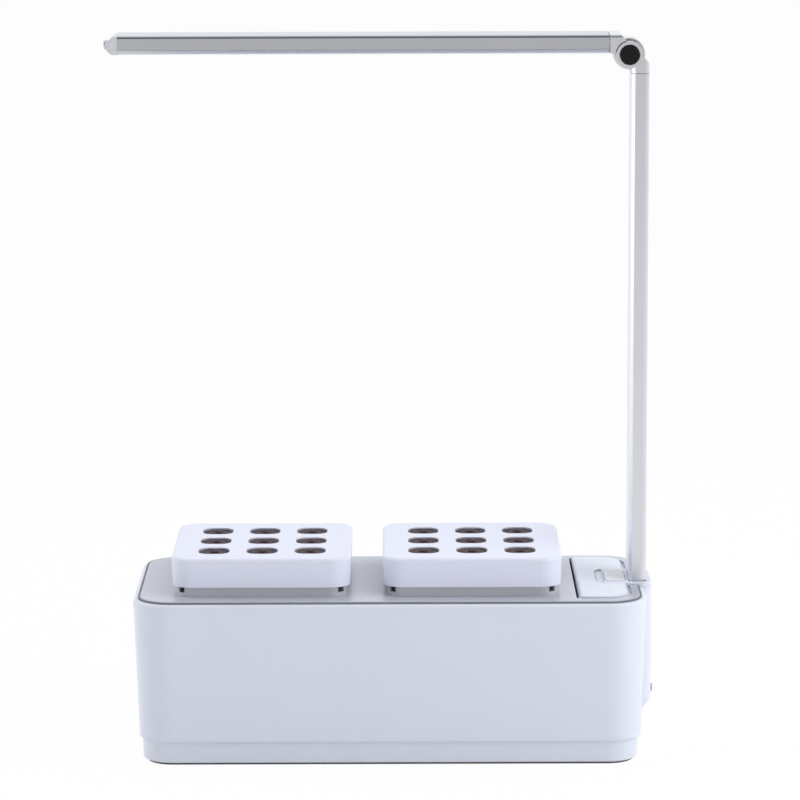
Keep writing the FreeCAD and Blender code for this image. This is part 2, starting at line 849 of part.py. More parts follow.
def make_deck():
    """The satin plate with two basket wells, the fill opening and the hatch recess."""
    body = new_body("deck")
    centre = as_size(0)
    slab(body, around(centre, centre, deck_half_length, deck_half_depth),
         deck_bottom, deck_top, deck_radius)
    dress_edges(body, "Fillet", s.deck_round, lambda edge: at_height(edge, deck_top))
    half = s.basket_half + s.basket_play
    well(body, [around(x, centre, half) for x in basket_centres.values()],
         deck_bottom, deck_top, s.basket_radius + s.basket_play)
    recess_radius = s.hatch_corner + s.hatch_play
    well(body, [(recess_left, -recess_half, hatch_right + s.hatch_end_gap, recess_half)],
         hatch_bottom, deck_top, recess_radius)
    well(body, [(recess_left, -recess_half, hatch_right - s.hatch_corner, recess_half)],
         hatch_bottom, deck_top)
    well(body, [(recess_left, -recess_half,
                 hatch_axis_x + s.hatch_nose + s.hatch_play, recess_half)],
         deck_bottom, hatch_bottom)
    well(body, [(recess_left, -fill_half_depth, fill_right, fill_half_depth)],
         deck_bottom, deck_top, s.cover_corner)
    bay_play = s.bay_half + s.hatch_play
    well(body, [(bay_left - s.hatch_play, -bay_play, half_length, bay_play)],
         deck_bottom, deck_top)
    pin_hole = front_sketch(body, recess_half + s.pin_seat)
    draw_circle(pin_hole, hatch_axis_x, hatch_axis_z, s.pin_radius + s.pin_play)
    pocket(body, pin_hole, (recess_half + s.pin_seat) * 2)
    return body


def make_deck_seal():
    """The dark splash seal between the deck and the rim, open where the post cover stands."""
    body = new_body("deck_seal")
    ring = flat_sketch(body, deck_bottom)
    for growth in (s.seal_width - s.seal_play, s.seal_play):
        outline = around(as_size(0), as_size(0), deck_half_length + growth,
                         deck_half_depth + growth)
        draw_round_box(ring, outline, deck_radius + growth)
    pad(body, ring, s.seal_rise)
    half = s.bay_half + s.hatch_play
    well(body, [(bay_left, -half, half_length, half)],
         deck_bottom, deck_bottom + s.seal_rise)
    return body


def make_basket(side):
    """One planting basket: a collar above the deck and a slotted tub below it."""
    body = new_body(f"basket_{side}")
    x, centre = basket_centres[side], as_size(0)
    top = lid_under
    slab(body, around(x, centre, s.basket_half), basket_floor, deck_top + 1, s.basket_radius)
    slab(body, around(x, centre, s.collar_half), deck_top, top, s.collar_radius)
    inner = s.basket_half - s.basket_wall
    well(body, [around(x, centre, inner)], basket_floor + s.basket_wall, top,
         s.basket_radius - s.basket_wall)
    collar_inner = s.collar_half - s.basket_wall
    well(body, [around(x, centre, collar_inner)], grid_bottom, top,
         s.collar_radius - s.basket_wall)
    first_slot = x - s.slot_pitch * ((FLOOR_SLOTS - 1) / 2)
    slot = well(body, [around(first_slot, centre, s.slot_width / 2, s.slot_reach)],
                basket_floor, basket_floor + s.basket_wall, s.slot_width * 0.45)
    repeat(body, slot, (FLOOR_SLOTS, s.slot_pitch))
    slot_low = grid_bottom + s.collar_slot_rise
    slot_sketch = sketch_on(body, "XY_Plane", x, 0, slot_low)
    slot_sketch.AttachmentOffset = FreeCAD.Placement(
        slot_sketch.AttachmentOffset.Base, FreeCAD.Rotation(Vector(0, 0, 1), 45))
    reach = s.collar_half * 2
    draw_box(slot_sketch, (-reach, -s.collar_slot_width / 2, reach, s.collar_slot_width / 2))
    pocket(body, slot_sketch, s.collar_slot_height)
    cross = sketch_on(body, "XY_Plane", x, 0, slot_low)
    cross.AttachmentOffset = FreeCAD.Placement(
        cross.AttachmentOffset.Base, FreeCAD.Rotation(Vector(0, 0, 1), 45))
    draw_box(cross, (-s.collar_slot_width / 2, -reach, s.collar_slot_width / 2, reach))
    pocket(body, cross, s.collar_slot_height)
    return body


def first_pod(side):
    """The front left plant place of a basket."""
    reach = s.hole_pitch * ((PLUGS_PER_SIDE - 1) / 2)
    return basket_centres[side] - reach, -reach


def repeat_pods(body, feature):
    """Repeat a feature at every plant place."""
    line = (PLUGS_PER_SIDE, s.hole_pitch)
    repeat(body, feature, line, line)


def make_plug_grid(side):
    """The plate that stands the plugs upright, resting on the basket's shoulder."""
    body = new_body(f"plug_grid_{side}")
    x, centre = basket_centres[side], as_size(0)
    half = s.collar_half - s.basket_wall - s.plug_play
    top = grid_bottom + s.grid_thickness
    slab(body, around(x, centre, half), grid_bottom, top, s.collar_radius - s.basket_wall)
    play = s.plug_side / 2 + s.plug_play
    hole = well(body, [around(*first_pod(side), play)], grid_bottom, top, s.plug_radius)
    repeat_pods(body, hole)
    return body


def make_plugs(side):
    """Nine square growing plugs, each with a seed hole in its top."""
    body = new_body(f"plugs_{side}")
    low = basket_floor + s.basket_wall
    x, y = first_pod(side)
    plug = slab(body, around(x, y, s.plug_side / 2), low, low + s.plug_height, s.plug_radius)
    repeat_pods(body, plug)
    seed = flat_sketch(body, low + s.plug_height - s.seed_depth)
    draw_circle(seed, x, y, s.seed_radius)
    repeat_pods(body, pocket(body, seed, s.seed_depth))
    return body


def make_lid(side):
    """One lid: a shallow cap with nine plant holes, thinned to a fine lip around each."""
    body = new_body(f"lid_{side}")
    x, centre = basket_centres[side], as_size(0)

    def lid_sketch(height, half, radius):
        sketch = flat_sketch(body, height)
        draw_round_box(sketch, around(x, centre, half), radius)
        return sketch

    low_half = s.lid_half - s.lid_lean
    height = lid_top - lid_low
    cap = pad(body, lid_sketch(lid_low, low_half, s.lid_radius - s.lid_lean), height)
    lean_outward(cap, s.lid_lean, height)
    dress_edges(body, "Fillet", s.lid_round, lambda edge: at_height(edge, lid_top))
    hollow = pocket(body, lid_sketch(lid_low, low_half - s.lid_wall,
                                     s.lid_radius - s.lid_lean - s.lid_wall),
                    lid_under - lid_low)
    lean_outward(hollow, s.lid_lean, height)
    place = first_pod(side)
    relief = s.hole_side / 2 + s.hole_relief
    under = well(body, [around(*place, relief)], lid_under, lid_top - s.hole_lip,
                 s.hole_radius + s.hole_relief)
    repeat_pods(body, under)
    hole = well(body, [around(*place, s.hole_side / 2)], lid_top - s.hole_lip, lid_top,
                s.hole_radius)
    repeat_pods(body, hole)
    return body


def make_fill_hatch():
    """The water hatch: a plate on a round hinge nose, notched around the control cover."""
    body = new_body("fill_hatch")
    half = hatch_half_depth
    slab(body, (hatch_axis_x, -half, hatch_right, half), hatch_bottom, hatch_top)
    dress_edges(body, "Fillet", s.hatch_corner, lambda edge: upright_at(edge, hatch_right))

    def top_rim(edge):
        outside = all_points(edge, lambda point: point.x > hatch_axis_x.number + 0.01)
        along = near(edge.BoundBox.XLength, (hatch_right - s.hatch_corner
                                             - hatch_axis_x).number)
        return at_height(edge, hatch_top) and (outside or along)

    dress_edges(body, "Fillet", s.hatch_round, top_rim)
    nose = front_sketch(body, half)
    draw_circle(nose, hatch_axis_x, hatch_axis_z, s.hatch_nose)
    pad(body, nose, half * 2)
    notch_half = s.bay_half + s.hatch_play
    well(body, [(bay_left - s.hatch_play - s.cover_play, -notch_half,
                 hatch_right + s.hatch_corner, notch_half)],
         hatch_bottom, hatch_top, s.cover_corner)
    bore = front_sketch(body, half)
    draw_circle(bore, hatch_axis_x, hatch_axis_z, s.pin_radius + s.pin_play)
    pocket(body, bore, half * 2)
    return body


def make_hatch_pin():
    """The steel pin that the hatch turns on."""
    reach = recess_half + s.pin_seat
    return node(rod("hatch_pin", s.pin_radius, (hatch_axis_x, -reach, hatch_axis_z),
                    reach * 2, "y"), "hatch_pin")


def make_control_cover():
    """The tongue-shaped cover of the control bay, open for the button and the post."""
    body = new_body("control_cover")
    slab(body, (bay_left, -s.bay_half, pilaster_right, s.bay_half),
         cover_bottom, cover_top, s.cover_corner)
    dress_edges(body, "Fillet", s.cover_round, lambda edge: at_height(edge, cover_top))
    well(body, [(bay_left - 1, -s.bay_half - 1, bay_left + s.finger_length,
                 s.bay_half + 1)], cover_top - s.finger_depth, cover_top + 1)
    play = s.button_play
    half = s.button_depth / 2
    well(body, [(button_left - play, -half - play, button_right + play, half + play)],
         cover_bottom, cover_top, s.button_corner + play)
    flange_half = half + s.button_flange_reach + play
    well(body, [(pocket_left, -flange_half, button_right + play, flange_half)],
         cover_bottom, cover_top - s.button_skin)
    slot = s.post_play
    well(body, [(post_left - slot, -half_bar - slot, post_right + slot, half_bar + slot)],
         cover_bottom, cover_top)
    return body


def make_power_button():
    """The long rocker-like push button, kept in by a flange under the cover."""
    body = new_body("power_button")
    half = s.button_depth / 2
    skin = cover_top - s.button_skin
    slab(body, (button_left, -half, button_right, half), skin - s.button_flange,
         cover_top + s.button_rise, s.button_corner)
    top = cover_top + s.button_rise
    dress_edges(body, "Fillet", s.button_rise, lambda edge: at_height(edge, top))
    flange_half = half + s.button_flange_reach
    slab(body, (button_left - s.button_flange_back, -flange_half, button_right, flange_half),
         skin - s.button_flange, skin)
    stem = flat_sketch(body, plunger_top())
    draw_circle(stem, switch_x, 0, s.button_stem_radius)
    pad(body, stem, skin - s.button_flange / 2 - plunger_top())
    return body


def plunger_top():
    """The height at which the button's stem meets the switch plunger."""
    return board_top + s.switch_height + s.plunger_rise


def make_switch():
    """The switch on the board, with its plunger as a separate moving piece."""
    half = s.switch_side / 2
    top = board_top + s.switch_height
    case = block("switch_case", (switch_x - half, -half, board_top),
                 (s.switch_side, s.switch_side, s.switch_height))
    low = top - s.plunger_sink
    bore_low = low - s.button_travel - s.plunger_play
    bore = rod("switch_bore", s.plunger_radius + s.plunger_play,
               (switch_x, 0, bore_low), top - bore_low + 1, "z")
    node(cut("tact_switch", case, bore), "tact_switch")
    plunger = rod("switch_plunger", s.plunger_radius, (switch_x, 0, low),
                  plunger_top() - low, "z")
    node(plunger, "switch_plunger")


def make_control_board():
    """The printed board, drilled for its two screws."""
    body = new_body("control_board")
    half_width, half_depth = s.board_width / 2, s.board_depth / 2
    slab(body, around(switch_x, as_size(0), half_width, half_depth), board_bottom, board_top)
    holes = flat_sketch(body, board_bottom)
    for y in board_screw_places():
        draw_circle(holes, switch_x, y, s.board_screw_radius + s.screw_play)
    pocket(body, holes, s.board_thickness)
    screws = []
    for y in board_screw_places():
        head_height = s.board_screw_head_height
        shank = rod("board_shank", s.board_screw_radius,
                    (switch_x, y, board_top - s.board_screw_length),
                    s.board_screw_length + head_height, "z")
        head = rod("board_head", s.board_screw_head, (switch_x, y, board_top), head_height, "z")
        screws.append(fuse("board_screw", [shank, head]))
    group("board_screws", screws)
    return body


def make_dc_inlet():
    """The low-voltage inlet: a socket with a round nose, and its centre pin."""
    barrel = rod("inlet_barrel", s.inlet_radius, (inlet_start, 0, s.inlet_height),
                 inlet_end - inlet_start, "x")
    nose = rod("inlet_nose", s.inlet_nose_radius, (inlet_start, 0, s.inlet_height),
               inlet_nose_end - inlet_start, "x")
    bore_start = inlet_nose_end - s.inlet_bore_depth
    bore = rod("inlet_bore", s.inlet_bore, (bore_start, 0, s.inlet_height),
               s.inlet_bore_depth + 1, "x")
    node(cut("dc_inlet", fuse("inlet_case", [barrel, nose]), bore), "dc_inlet")
    pin = rod("dc_inlet_pin", s.inlet_pin_radius, (bore_start, 0, s.inlet_height),
              s.inlet_bore_depth - s.inlet_pin_sink, "x")
    node(pin, "dc_inlet_pin")


def make_lead(label, route, radius):
    """A lead along straight runs joined by tangent arcs."""
    points = [Vector(*(as_size(value).number for value in point)) for point in route]
    edges = []
    start = points[0]
    for before, corner, after in zip(points, points[1:], points[2:]):
        back, on = before - corner, after - corner
        turn = math.pi - back.getAngle(on)
        cutback = 0.45 * min(back.Length, on.Length)
        bend = cutback / math.tan(turn / 2)
        back.normalize()
        on.normalize()
        first, last = corner + back * cutback, corner + on * cutback
        inward = (back + on).normalize()
        middle = corner + inward * (bend / math.cos(turn / 2) - bend)
        edges.append(Part.LineSegment(start, first).toShape())
        edges.append(Part.Arc(first, middle, last).toShape())
        print(label, "bend radius", round(bend, 2))
        start = last
    edges.append(Part.LineSegment(start, points[-1]).toShape())
    path = Part.Wire(edges)
    circle = Part.Circle(points[0], points[1] - points[0], radius.number).toShape()
    tube = path.makePipeShell([Part.Wire(circle)], True, False)
    area = math.pi * radius.number ** 2
    print(label, "volume over section times length", round(tube.Volume / area / path.Length, 4))
    lead = doc.addObject("Part::Feature", label)
    lead.Shape = tube
    return node(lead, label)


def make_leads():
    """The inlet lead and the lamp lead, both held inside the housing and the bars."""
    inlet_x = pocket_left + s.lead_radius * 3
    make_lead("inlet_lead", [
        (inlet_start, 0, s.inlet_height), (inlet_x, 0, s.inlet_height), (inlet_x, 0, board_bottom),
    ], s.lead_radius)
    lamp_x = shaft_right - s.lead_radius * 3
    turn_z = (link_floor + post_foot) / 2
    make_lead("lamp_lead", [
        (lamp_x, 0, board_bottom), (lamp_x, 0, turn_z), (post_middle, 0, turn_z),
        (post_middle, 0, post_top),
    ], s.lead_radius)
    lead_z = arm_lead_height()
    start = arm_right - s.spigot_length - s.arm_lead_tail
    length = s.arm_lead_tail + s.spigot_length + s.arm_lead_tip
    lead = rod("arm_lead", s.lead_radius, (start, 0, lead_z), length, "x")
    node(lead, "arm_lead")


def arm_lead_height():
    """The lead lies just under the lamp's board."""
    return s.arm_top - s.bar_wall - s.board_thickness - s.lead_radius - s.lead_play


def make_post():
    """The hollow lamp post, with rounded outer edges and bevelled inner edges."""
    body = new_body("post")
    slab(body, (post_left, -half_bar, post_right, half_bar), post_foot, post_top)
    dress_edges(body, "Fillet", s.bar_round, lambda edge: upright_at(edge, post_right))
    dress_edges(body, "Chamfer", s.bar_bevel, lambda edge: upright_at(edge, post_left))
    wall = s.bar_wall
    well(body, [(post_left + wall, wall - half_bar, post_right - wall, half_bar - wall)],
         post_foot, post_top, s.bar_bevel)
    holes = end_sketch(body, post_left)
    for height in post_screw_heights():
        draw_circle(holes, -s.link_half / 2, height, s.post_screw_radius + s.screw_play)
    pocket(body, holes, wall + 1)
    return body


def make_post_screws():
    """Two screws from inside the bay that hold the post."""
    screws = []
    y = -s.link_half / 2
    head_low = shaft_right - s.post_screw_head_height
    for height in post_screw_heights():
        head = rod("post_head", s.post_screw_head, (head_low, y, height),
                   s.post_screw_head_height, "x")
        shank = rod("post_shank", s.post_screw_radius, (head_low, y, height),
                    post_left + s.bar_wall - head_low, "x")
        screws.append(fuse("post_screw", [head, shank]))
    return group("post_screws", screws)


def ring_slot(body, radius, low_y, high_y):
    """Cut a round space about the hinge axis between two depths."""
    sketch = front_sketch(body, high_y)
    draw_circle(sketch, hinge_x, hinge_z, radius)
    pocket(body, sketch, high_y - low_y)


def make_post_knuckle():
    """The lower hinge half: a fork of two ears on a spigot that fills the post's end."""
    body = new_body("post_knuckle")
    face = front_sketch(body, half_bar)
    slant = post_right - hinge_x - s.ear_radius
    low = post_top + s.bar_reveal
    shoulder = hinge_z - s.shoulder_drop
    draw_outline(face, [
        (post_left, low), (post_right, low), (post_right, shoulder - slant),
        (hinge_x + s.ear_radius, shoulder), (post_left, hinge_z),
    ])
    pad(body, face, s.bar_width)
    dress_edges(body, "Fillet", s.bar_round, lambda edge: upright_at(edge, post_right))
    dress_edges(body, "Chamfer", s.bar_bevel, lambda edge: upright_at(edge, post_left))
    ears = front_sketch(body, half_bar)
    draw_circle(ears, hinge_x, hinge_z, s.ear_radius)
    pad(body, ears, s.bar_width)
    ring_slot(body, s.tongue_radius + s.tongue_gap, -ear_inner, ear_inner)
    play = s.bar_wall + s.spigot_play
    slab(body, (post_left + play, play - half_bar, post_right - play, half_bar - play),
         post_top - s.spigot_length, low, s.bar_bevel)
    channel = flat_sketch(body, post_top - s.spigot_length)
    draw_circle(channel, post_middle, 0, s.channel_radius)
    pocket(body, channel, s.spigot_length + hinge_z - post_top)
    ring_slot(body, s.bolt_radius + s.bolt_play, -half_bar, half_bar)
    ring_slot(body, s.knob_radius + s.knob_play, -half_bar, s.knob_seat - half_bar)
    ring_slot(body, s.nut_radius + s.knob_play, half_bar - s.nut_depth, half_bar)
    return body


def make_arm_knuckle():
    """The upper hinge half: one broad tongue on a spigot that fills the lamp's end."""
    body = new_body("arm_knuckle")
    low = arm_bottom - s.diffuser_drop + s.knuckle_step
    start = arm_right + s.bar_reveal
    face = front_sketch(body, half_bar)
    slant_z = hinge_z + s.tongue_radius * 0.7
    slant = s.arm_top - slant_z
    draw_outline(face, [
        (start, low), (hinge_x, low), (hinge_x, slant_z),
        (hinge_x - slant, s.arm_top), (start, s.arm_top),
    ])
    pad(body, face, s.bar_width)

    def top_side(edge):
        return at_height(edge, s.arm_top) and near(edge.BoundBox.YLength, 0)

    dress_edges(body, "Fillet", s.arm_round, top_side)
    ear_space = s.ear_radius + s.ear_gap
    ring_slot(body, ear_space, tongue_half, half_bar)
    ring_slot(body, ear_space, -half_bar, -tongue_half)
    tongue = front_sketch(body, tongue_half)
    draw_circle(tongue, hinge_x, hinge_z, s.tongue_radius)
    pad(body, tongue, tongue_half * 2)
    play = s.bar_wall + s.spigot_play
    spigot = end_sketch(body, arm_right - s.spigot_length)
    spigot_low = arm_bottom + s.lip_height + s.diffuser_flange + s.spigot_play
    draw_box(spigot, (-half_bar + play, spigot_low, half_bar - play, s.arm_top - play),
             s.bar_bevel)
    pad(body, spigot, s.spigot_length + s.bar_reveal)
    channel = end_sketch(body, arm_right - s.spigot_length)
    draw_circle(channel, 0, arm_lead_height(), s.lead_radius + s.lead_play * 5)
    pocket(body, channel, s.spigot_length + s.knuckle_drop)
    ring_slot(body, s.bolt_radius + s.bolt_play, -tongue_half, tongue_half)
    return body


def make_hinge_hardware():
    """The bolt, its nut and the two friction washers."""
    front = s.knob_seat - half_bar - s.bolt_bite
    back = half_bar - s.bolt_end_sink
    node(rod("hinge_bolt", s.bolt_radius, (hinge_x, front, hinge_z), back - front, "y"),
         "hinge_bolt")
    nut = new_body("hinge_nut")
    nut_low = half_bar - s.nut_depth
    nut_high = half_bar - s.nut_sink
    hexagon = front_sketch(nut, nut_high)
    corners = []
    for corner in range(6):
        angle = math.radians(60 * corner)
        corners.append((hinge_x + s.nut_radius * math.cos(angle),
                        hinge_z + s.nut_radius * math.sin(angle)))
    draw_outline(hexagon, corners)
    pad(nut, hexagon, nut_high - nut_low)
    ring_slot(nut, s.bolt_radius + s.bolt_play, nut_low, half_bar)
    washers = []
    for low in (-ear_inner, ear_inner - s.washer_thickness):
        disc = rod("washer_disc", s.washer_radius, (hinge_x, low, hinge_z),
                   s.washer_thickness, "y")
        hole = rod("washer_hole", s.bolt_radius + s.bolt_play, (hinge_x, low - 1, hinge_z),
                   s.washer_thickness + 2, "y")
        washers.append(cut("washer", disc, hole))
    group("hinge_washers", washers)


def make_hinge_knob():
    """The black knob on the bolt's head, with slanted grooves across its face."""
    body = new_body("hinge_knob")
    back = s.knob_seat - half_bar
    face = -half_bar - s.knob_reach
    disc = front_sketch(body, back)
    draw_circle(disc, hinge_x, hinge_z, s.knob_radius)
    pad(body, disc, back - face)

    def front_edge(edge):
        return all_points(edge, lambda point: near(point.y, face.number))

    dress_edges(body, "Fillet", s.knob_reach / 2, front_edge)
    groove = sketch_on(body, "XZ_Plane", hinge_x, hinge_z, -(face + s.knob_groove))
    groove.AttachmentOffset = FreeCAD.Placement(
        groove.AttachmentOffset.Base, FreeCAD.Rotation(Vector(0, 0, 1), KNOB_GROOVE_TURN))
    first = -s.knob_pitch * ((KNOB_GROOVES - 1) / 2)
    draw_box(groove, around(first, as_size(0), s.knob_groove / 2, s.knob_radius * 0.72))
    repeat(body, pocket(body, groove, s.knob_groove * 2), (KNOB_GROOVES, s.knob_pitch))
    ring_slot(body, s.bolt_radius + s.bolt_play, back - s.bolt_bite - s.bolt_play, back)
    return body


def make_lamp_profile():
    """The lamp's channel, open below, with two lips that carry the diffuser."""
    body = new_body("lamp_profile")
    length = arm_right - arm_left
    bar = end_sketch(body, arm_left)
    draw_box(bar, (-half_bar, arm_bottom, half_bar, s.arm_top))
    pad(body, bar, length)

    def long_edge(edge, height):
        return at_height(edge, height) and near(edge.BoundBox.YLength, 0)

    dress_edges(body, "Fillet", s.arm_round, lambda edge: long_edge(edge, s.arm_top))
    dress_edges(body, "Chamfer", s.bar_bevel, lambda edge: long_edge(edge, arm_bottom))
    inner = half_bar - s.bar_wall
    lip_top = arm_bottom + s.lip_height
    for half, low, high in ((inner, lip_top, s.arm_top - s.bar_wall),
                            (inner - s.lip_reach, arm_bottom - 1, lip_top + 1)):
        channel = end_sketch(body, arm_left)
        draw_box(channel, (-half, low, half, high))
        pocket(body, channel, length)
    line_low = arm_bottom + s.bar_bevel
    grooves = end_sketch(body, arm_left)
    for near_side, far_side in ((-half_bar, s.line_depth - half_bar),
                                (half_bar - s.line_depth, half_bar)):
        draw_box(grooves, (near_side, line_low, far_side, line_low + s.line_height))
    pocket(body, grooves, length)
    return body


def make_diffuser():
    """The opal strip that closes the lamp's channel and hangs a little below it."""
    body = new_body("diffuser")
    length = arm_right - arm_left
    lip_top = arm_bottom + s.lip_height
    half = half_bar - s.bar_wall - s.lip_reach - s.diffuser_play
    strip = end_sketch(body, arm_left)
    draw_box(strip, (-half, arm_bottom - s.diffuser_drop, half, lip_top + s.diffuser_flange))
    pad(body, strip, length)

    def low_edge(edge):
        low = arm_bottom - s.diffuser_drop
        return at_height(edge, low) and near(edge.BoundBox.YLength, 0)

    dress_edges(body, "Chamfer", s.diffuser_drop, low_edge)
    flange = end_sketch(body, arm_left)
    flange_half = half + s.lip_reach
    draw_box(flange, (-flange_half, lip_top, flange_half, lip_top + s.diffuser_flange))
    pad(body, flange, length)
    hollow = end_sketch(body, arm_left)
    hollow_half = half - s.diffuser_flange - s.diffuser_play
    draw_box(hollow, (-hollow_half, arm_bottom + s.diffuser_play, hollow_half,
                      lip_top + s.diffuser_flange))
    pocket(body, hollow, length)
    return body


def make_leds():
    """The lamp's board and its two rows of lights."""
    top = s.arm_top - s.bar_wall
    low = top - s.board_thickness
    middle_x = (arm_left + arm_right) / 2
    half_length = (LEDS_PER_ROW - 1) / 2 * s.led_pitch + s.led_pitch / 3
    board = block("led_board", (middle_x - half_length, -s.led_board_width / 2, low),
                  (half_length * 2, s.led_board_width, s.board_thickness))
    node(board, "led_board")
    chips = []
    half = s.led_side / 2
    for row in (-1, 1):
        for place in range(LEDS_PER_ROW):
            x = middle_x + s.led_pitch * (place - (LEDS_PER_ROW - 1) / 2)
            corner = (x - half, s.led_row * row - half, low - s.led_height)
            chips.append(block("led", corner, (s.led_side, s.led_side, s.led_height)))
    group("led_chips", chips)


def make_arm_end_cap():
    """The rounded cap of the lamp, with its plug and a small round nub."""
    body = new_body("arm_end_cap")
    low = arm_bottom - s.diffuser_drop
    tip = arm_left - s.cap_length
    shoulder = s.cap_length - s.cap_shoulder
    face = front_sketch(body, half_bar)
    draw_outline(face, [
        (arm_left, low), (tip + s.cap_corner, low), (tip, low + s.cap_corner),
        (tip, s.arm_top - shoulder * 0.85), (arm_left - s.cap_shoulder, s.arm_top),
        (arm_left, s.arm_top),
    ])
    pad(body, face, s.bar_width)

    def across(edge):
        level = near(edge.BoundBox.XLength, 0) and near(edge.BoundBox.ZLength, 0)
        return level and edge.BoundBox.XMin < arm_left.number - 0.01

    dress_edges(body, "Fillet", s.cap_bend, across)

    def side_outline(edge):
        middle = edge.valueAt((edge.FirstParameter + edge.LastParameter) / 2)
        at_side = near(edge.BoundBox.YLength, 0) and near(abs(middle.y), half_bar.number)
        return at_side and edge.BoundBox.XMin < arm_left.number - 0.01

    dress_edges(body, "Fillet", s.arm_round, side_outline)
    play = s.bar_wall + s.spigot_play
    plug = end_sketch(body, arm_left)
    plug_low = arm_bottom + s.lip_height + s.diffuser_flange + s.spigot_play
    draw_box(plug, (-half_bar + play, plug_low, half_bar - play, s.arm_top - play))
    pad(body, plug, s.spigot_length / 2)
    nub = end_sketch(body, tip - s.nub_reach)
    draw_circle(nub, 0, (low + s.arm_top) / 2 - s.nub_drop, s.nub_radius)
    pad(body, nub, s.nub_reach + s.cap_corner)
    dress_edges(body, "Fillet", s.nub_radius / 3, lambda edge: all_points(
        edge, lambda point: near(point.x, (tip - s.nub_reach).number)))
    return body


def check_model():
    """Stop if any feature failed, cut nothing or left an empty shape."""
    for item in doc.Objects:
        if {"Invalid", "Error"} & set(item.State):
            raise RuntimeError(f"{item.Name} ({item.Label}) is {item.State}")
        if item.TypeId == "PartDesign::Pocket" and item.BaseFeature:
            if item.BaseFeature.Shape.Volume - item.Shape.Volume < 0.001:
                raise RuntimeError(f"{item.Name} cut nothing")
    for item in NODES:
        if item.Shape.isNull() or not item.Shape.isValid() or not item.Shape.Solids:
            raise RuntimeError(f"{item.Label} has no valid solid")


def build():
    """Make every sub-part of the garden."""
    make_housing()
    make_bottom_tray()
    make_foot_ring()
    make_tray_screws()
    make_water_tank()
    make_deck()
    make_deck_seal()
    for side in basket_centres:
        make_basket(side)
        make_plug_grid(side)
        make_plugs(side)
        make_lid(side)
    make_fill_hatch()
    make_hatch_pin()
    make_control_cover()
    make_power_button()
    make_switch()
    make_control_board()
    make_dc_inlet()
    make_leads()
    make_post()
    make_post_screws()
    make_post_knuckle()
    make_arm_knuckle()
    make_hinge_hardware()
    make_hinge_knob()
    make_lamp_profile()
    make_diffuser()
    make_leds()
    make_arm_end_cap()
    doc.recompute()


build()
check_model()
os.makedirs("parts", exist_ok=True)
for item in NODES:
    item.Shape.exportStep(f"parts/{item.Label}.step")
print(len(NODES), "nodes")
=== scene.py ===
"""Studio view of a countertop hydroponic garden with a folding grow lamp.

Metres, +Z up, +X towards the lamp post, -Y towards the viewer. The solids come
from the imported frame. This file gives each of them its finish, grows the sponge
plugs in the baskets, and sets the floor, the lights and the camera.
"""

import logging
import math
from collections.abc import Callable
from dataclasses import dataclass, field
from enum import Enum
from typing import ClassVar, Protocol

import bmesh
import bpy
from mathutils import Matrix, Vector


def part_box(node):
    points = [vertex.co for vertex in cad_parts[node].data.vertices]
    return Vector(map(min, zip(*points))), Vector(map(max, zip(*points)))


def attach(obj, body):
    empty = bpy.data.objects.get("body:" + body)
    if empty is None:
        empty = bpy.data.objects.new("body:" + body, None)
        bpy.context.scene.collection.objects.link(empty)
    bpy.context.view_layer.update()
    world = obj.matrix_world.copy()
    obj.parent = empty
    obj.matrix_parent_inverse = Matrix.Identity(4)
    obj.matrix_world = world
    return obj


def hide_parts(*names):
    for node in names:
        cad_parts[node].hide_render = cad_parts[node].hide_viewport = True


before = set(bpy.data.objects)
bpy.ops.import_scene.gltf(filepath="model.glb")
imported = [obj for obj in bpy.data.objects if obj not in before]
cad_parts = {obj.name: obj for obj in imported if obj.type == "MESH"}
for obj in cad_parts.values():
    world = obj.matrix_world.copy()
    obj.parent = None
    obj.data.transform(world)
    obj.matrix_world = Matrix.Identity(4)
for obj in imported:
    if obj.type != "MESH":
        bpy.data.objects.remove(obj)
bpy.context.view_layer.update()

LOG = logging.getLogger("hydroponic_garden")
Triple = tuple[float, float, float]
Colour = Triple


class Side(Enum):
    """The two basket places."""

    LEFT = "left"
    RIGHT = "right"


class Run(Enum):
    """The way that a bar's fine drawing lines run, as a stretch of X, Y and Z."""

    ALONG_X = (0.02, 1.0, 1.0)
    ALONG_Y = (1.0, 0.02, 1.0)
    ALONG_Z = (1.0, 1.0, 0.02)


class Number:
    """A number socket in a material whose arithmetic adds Math nodes."""

    def __init__(self, recipe: "Recipe", socket: bpy.types.NodeSocket) -> None:
        """Keep the socket and the recipe that it belongs to."""
        self.recipe = recipe
        self.socket = socket

    def _math(self, operation: str, first: object, second: object) -> "Number":
        """Add one Math node.

        Args:
            operation: Blender's name for the sum.
            first: A number or a Number.
            second: A number or a Number.

        Returns:
            The result as a Number.
        """
        made = self.recipe.node("ShaderNodeMath", {"operation": operation}, {0: first, 1: second})
        return Number(self.recipe, made.outputs[0])

    def __add__(self, other: object) -> "Number":
        """Return this plus the other."""
        return self._math("ADD", self, other)

    def __radd__(self, other: object) -> "Number":
        """Return the other plus this."""
        return self._math("ADD", other, self)

    def __sub__(self, other: object) -> "Number":
        """Return this minus the other."""
        return self._math("SUBTRACT", self, other)

    def __rsub__(self, other: object) -> "Number":
        """Return the other minus this."""
        return self._math("SUBTRACT", other, self)

    def __mul__(self, other: object) -> "Number":
        """Return this times the other."""
        return self._math("MULTIPLY", self, other)

    def __rmul__(self, other: object) -> "Number":
        """Return the other times this."""
        return self._math("MULTIPLY", other, self)


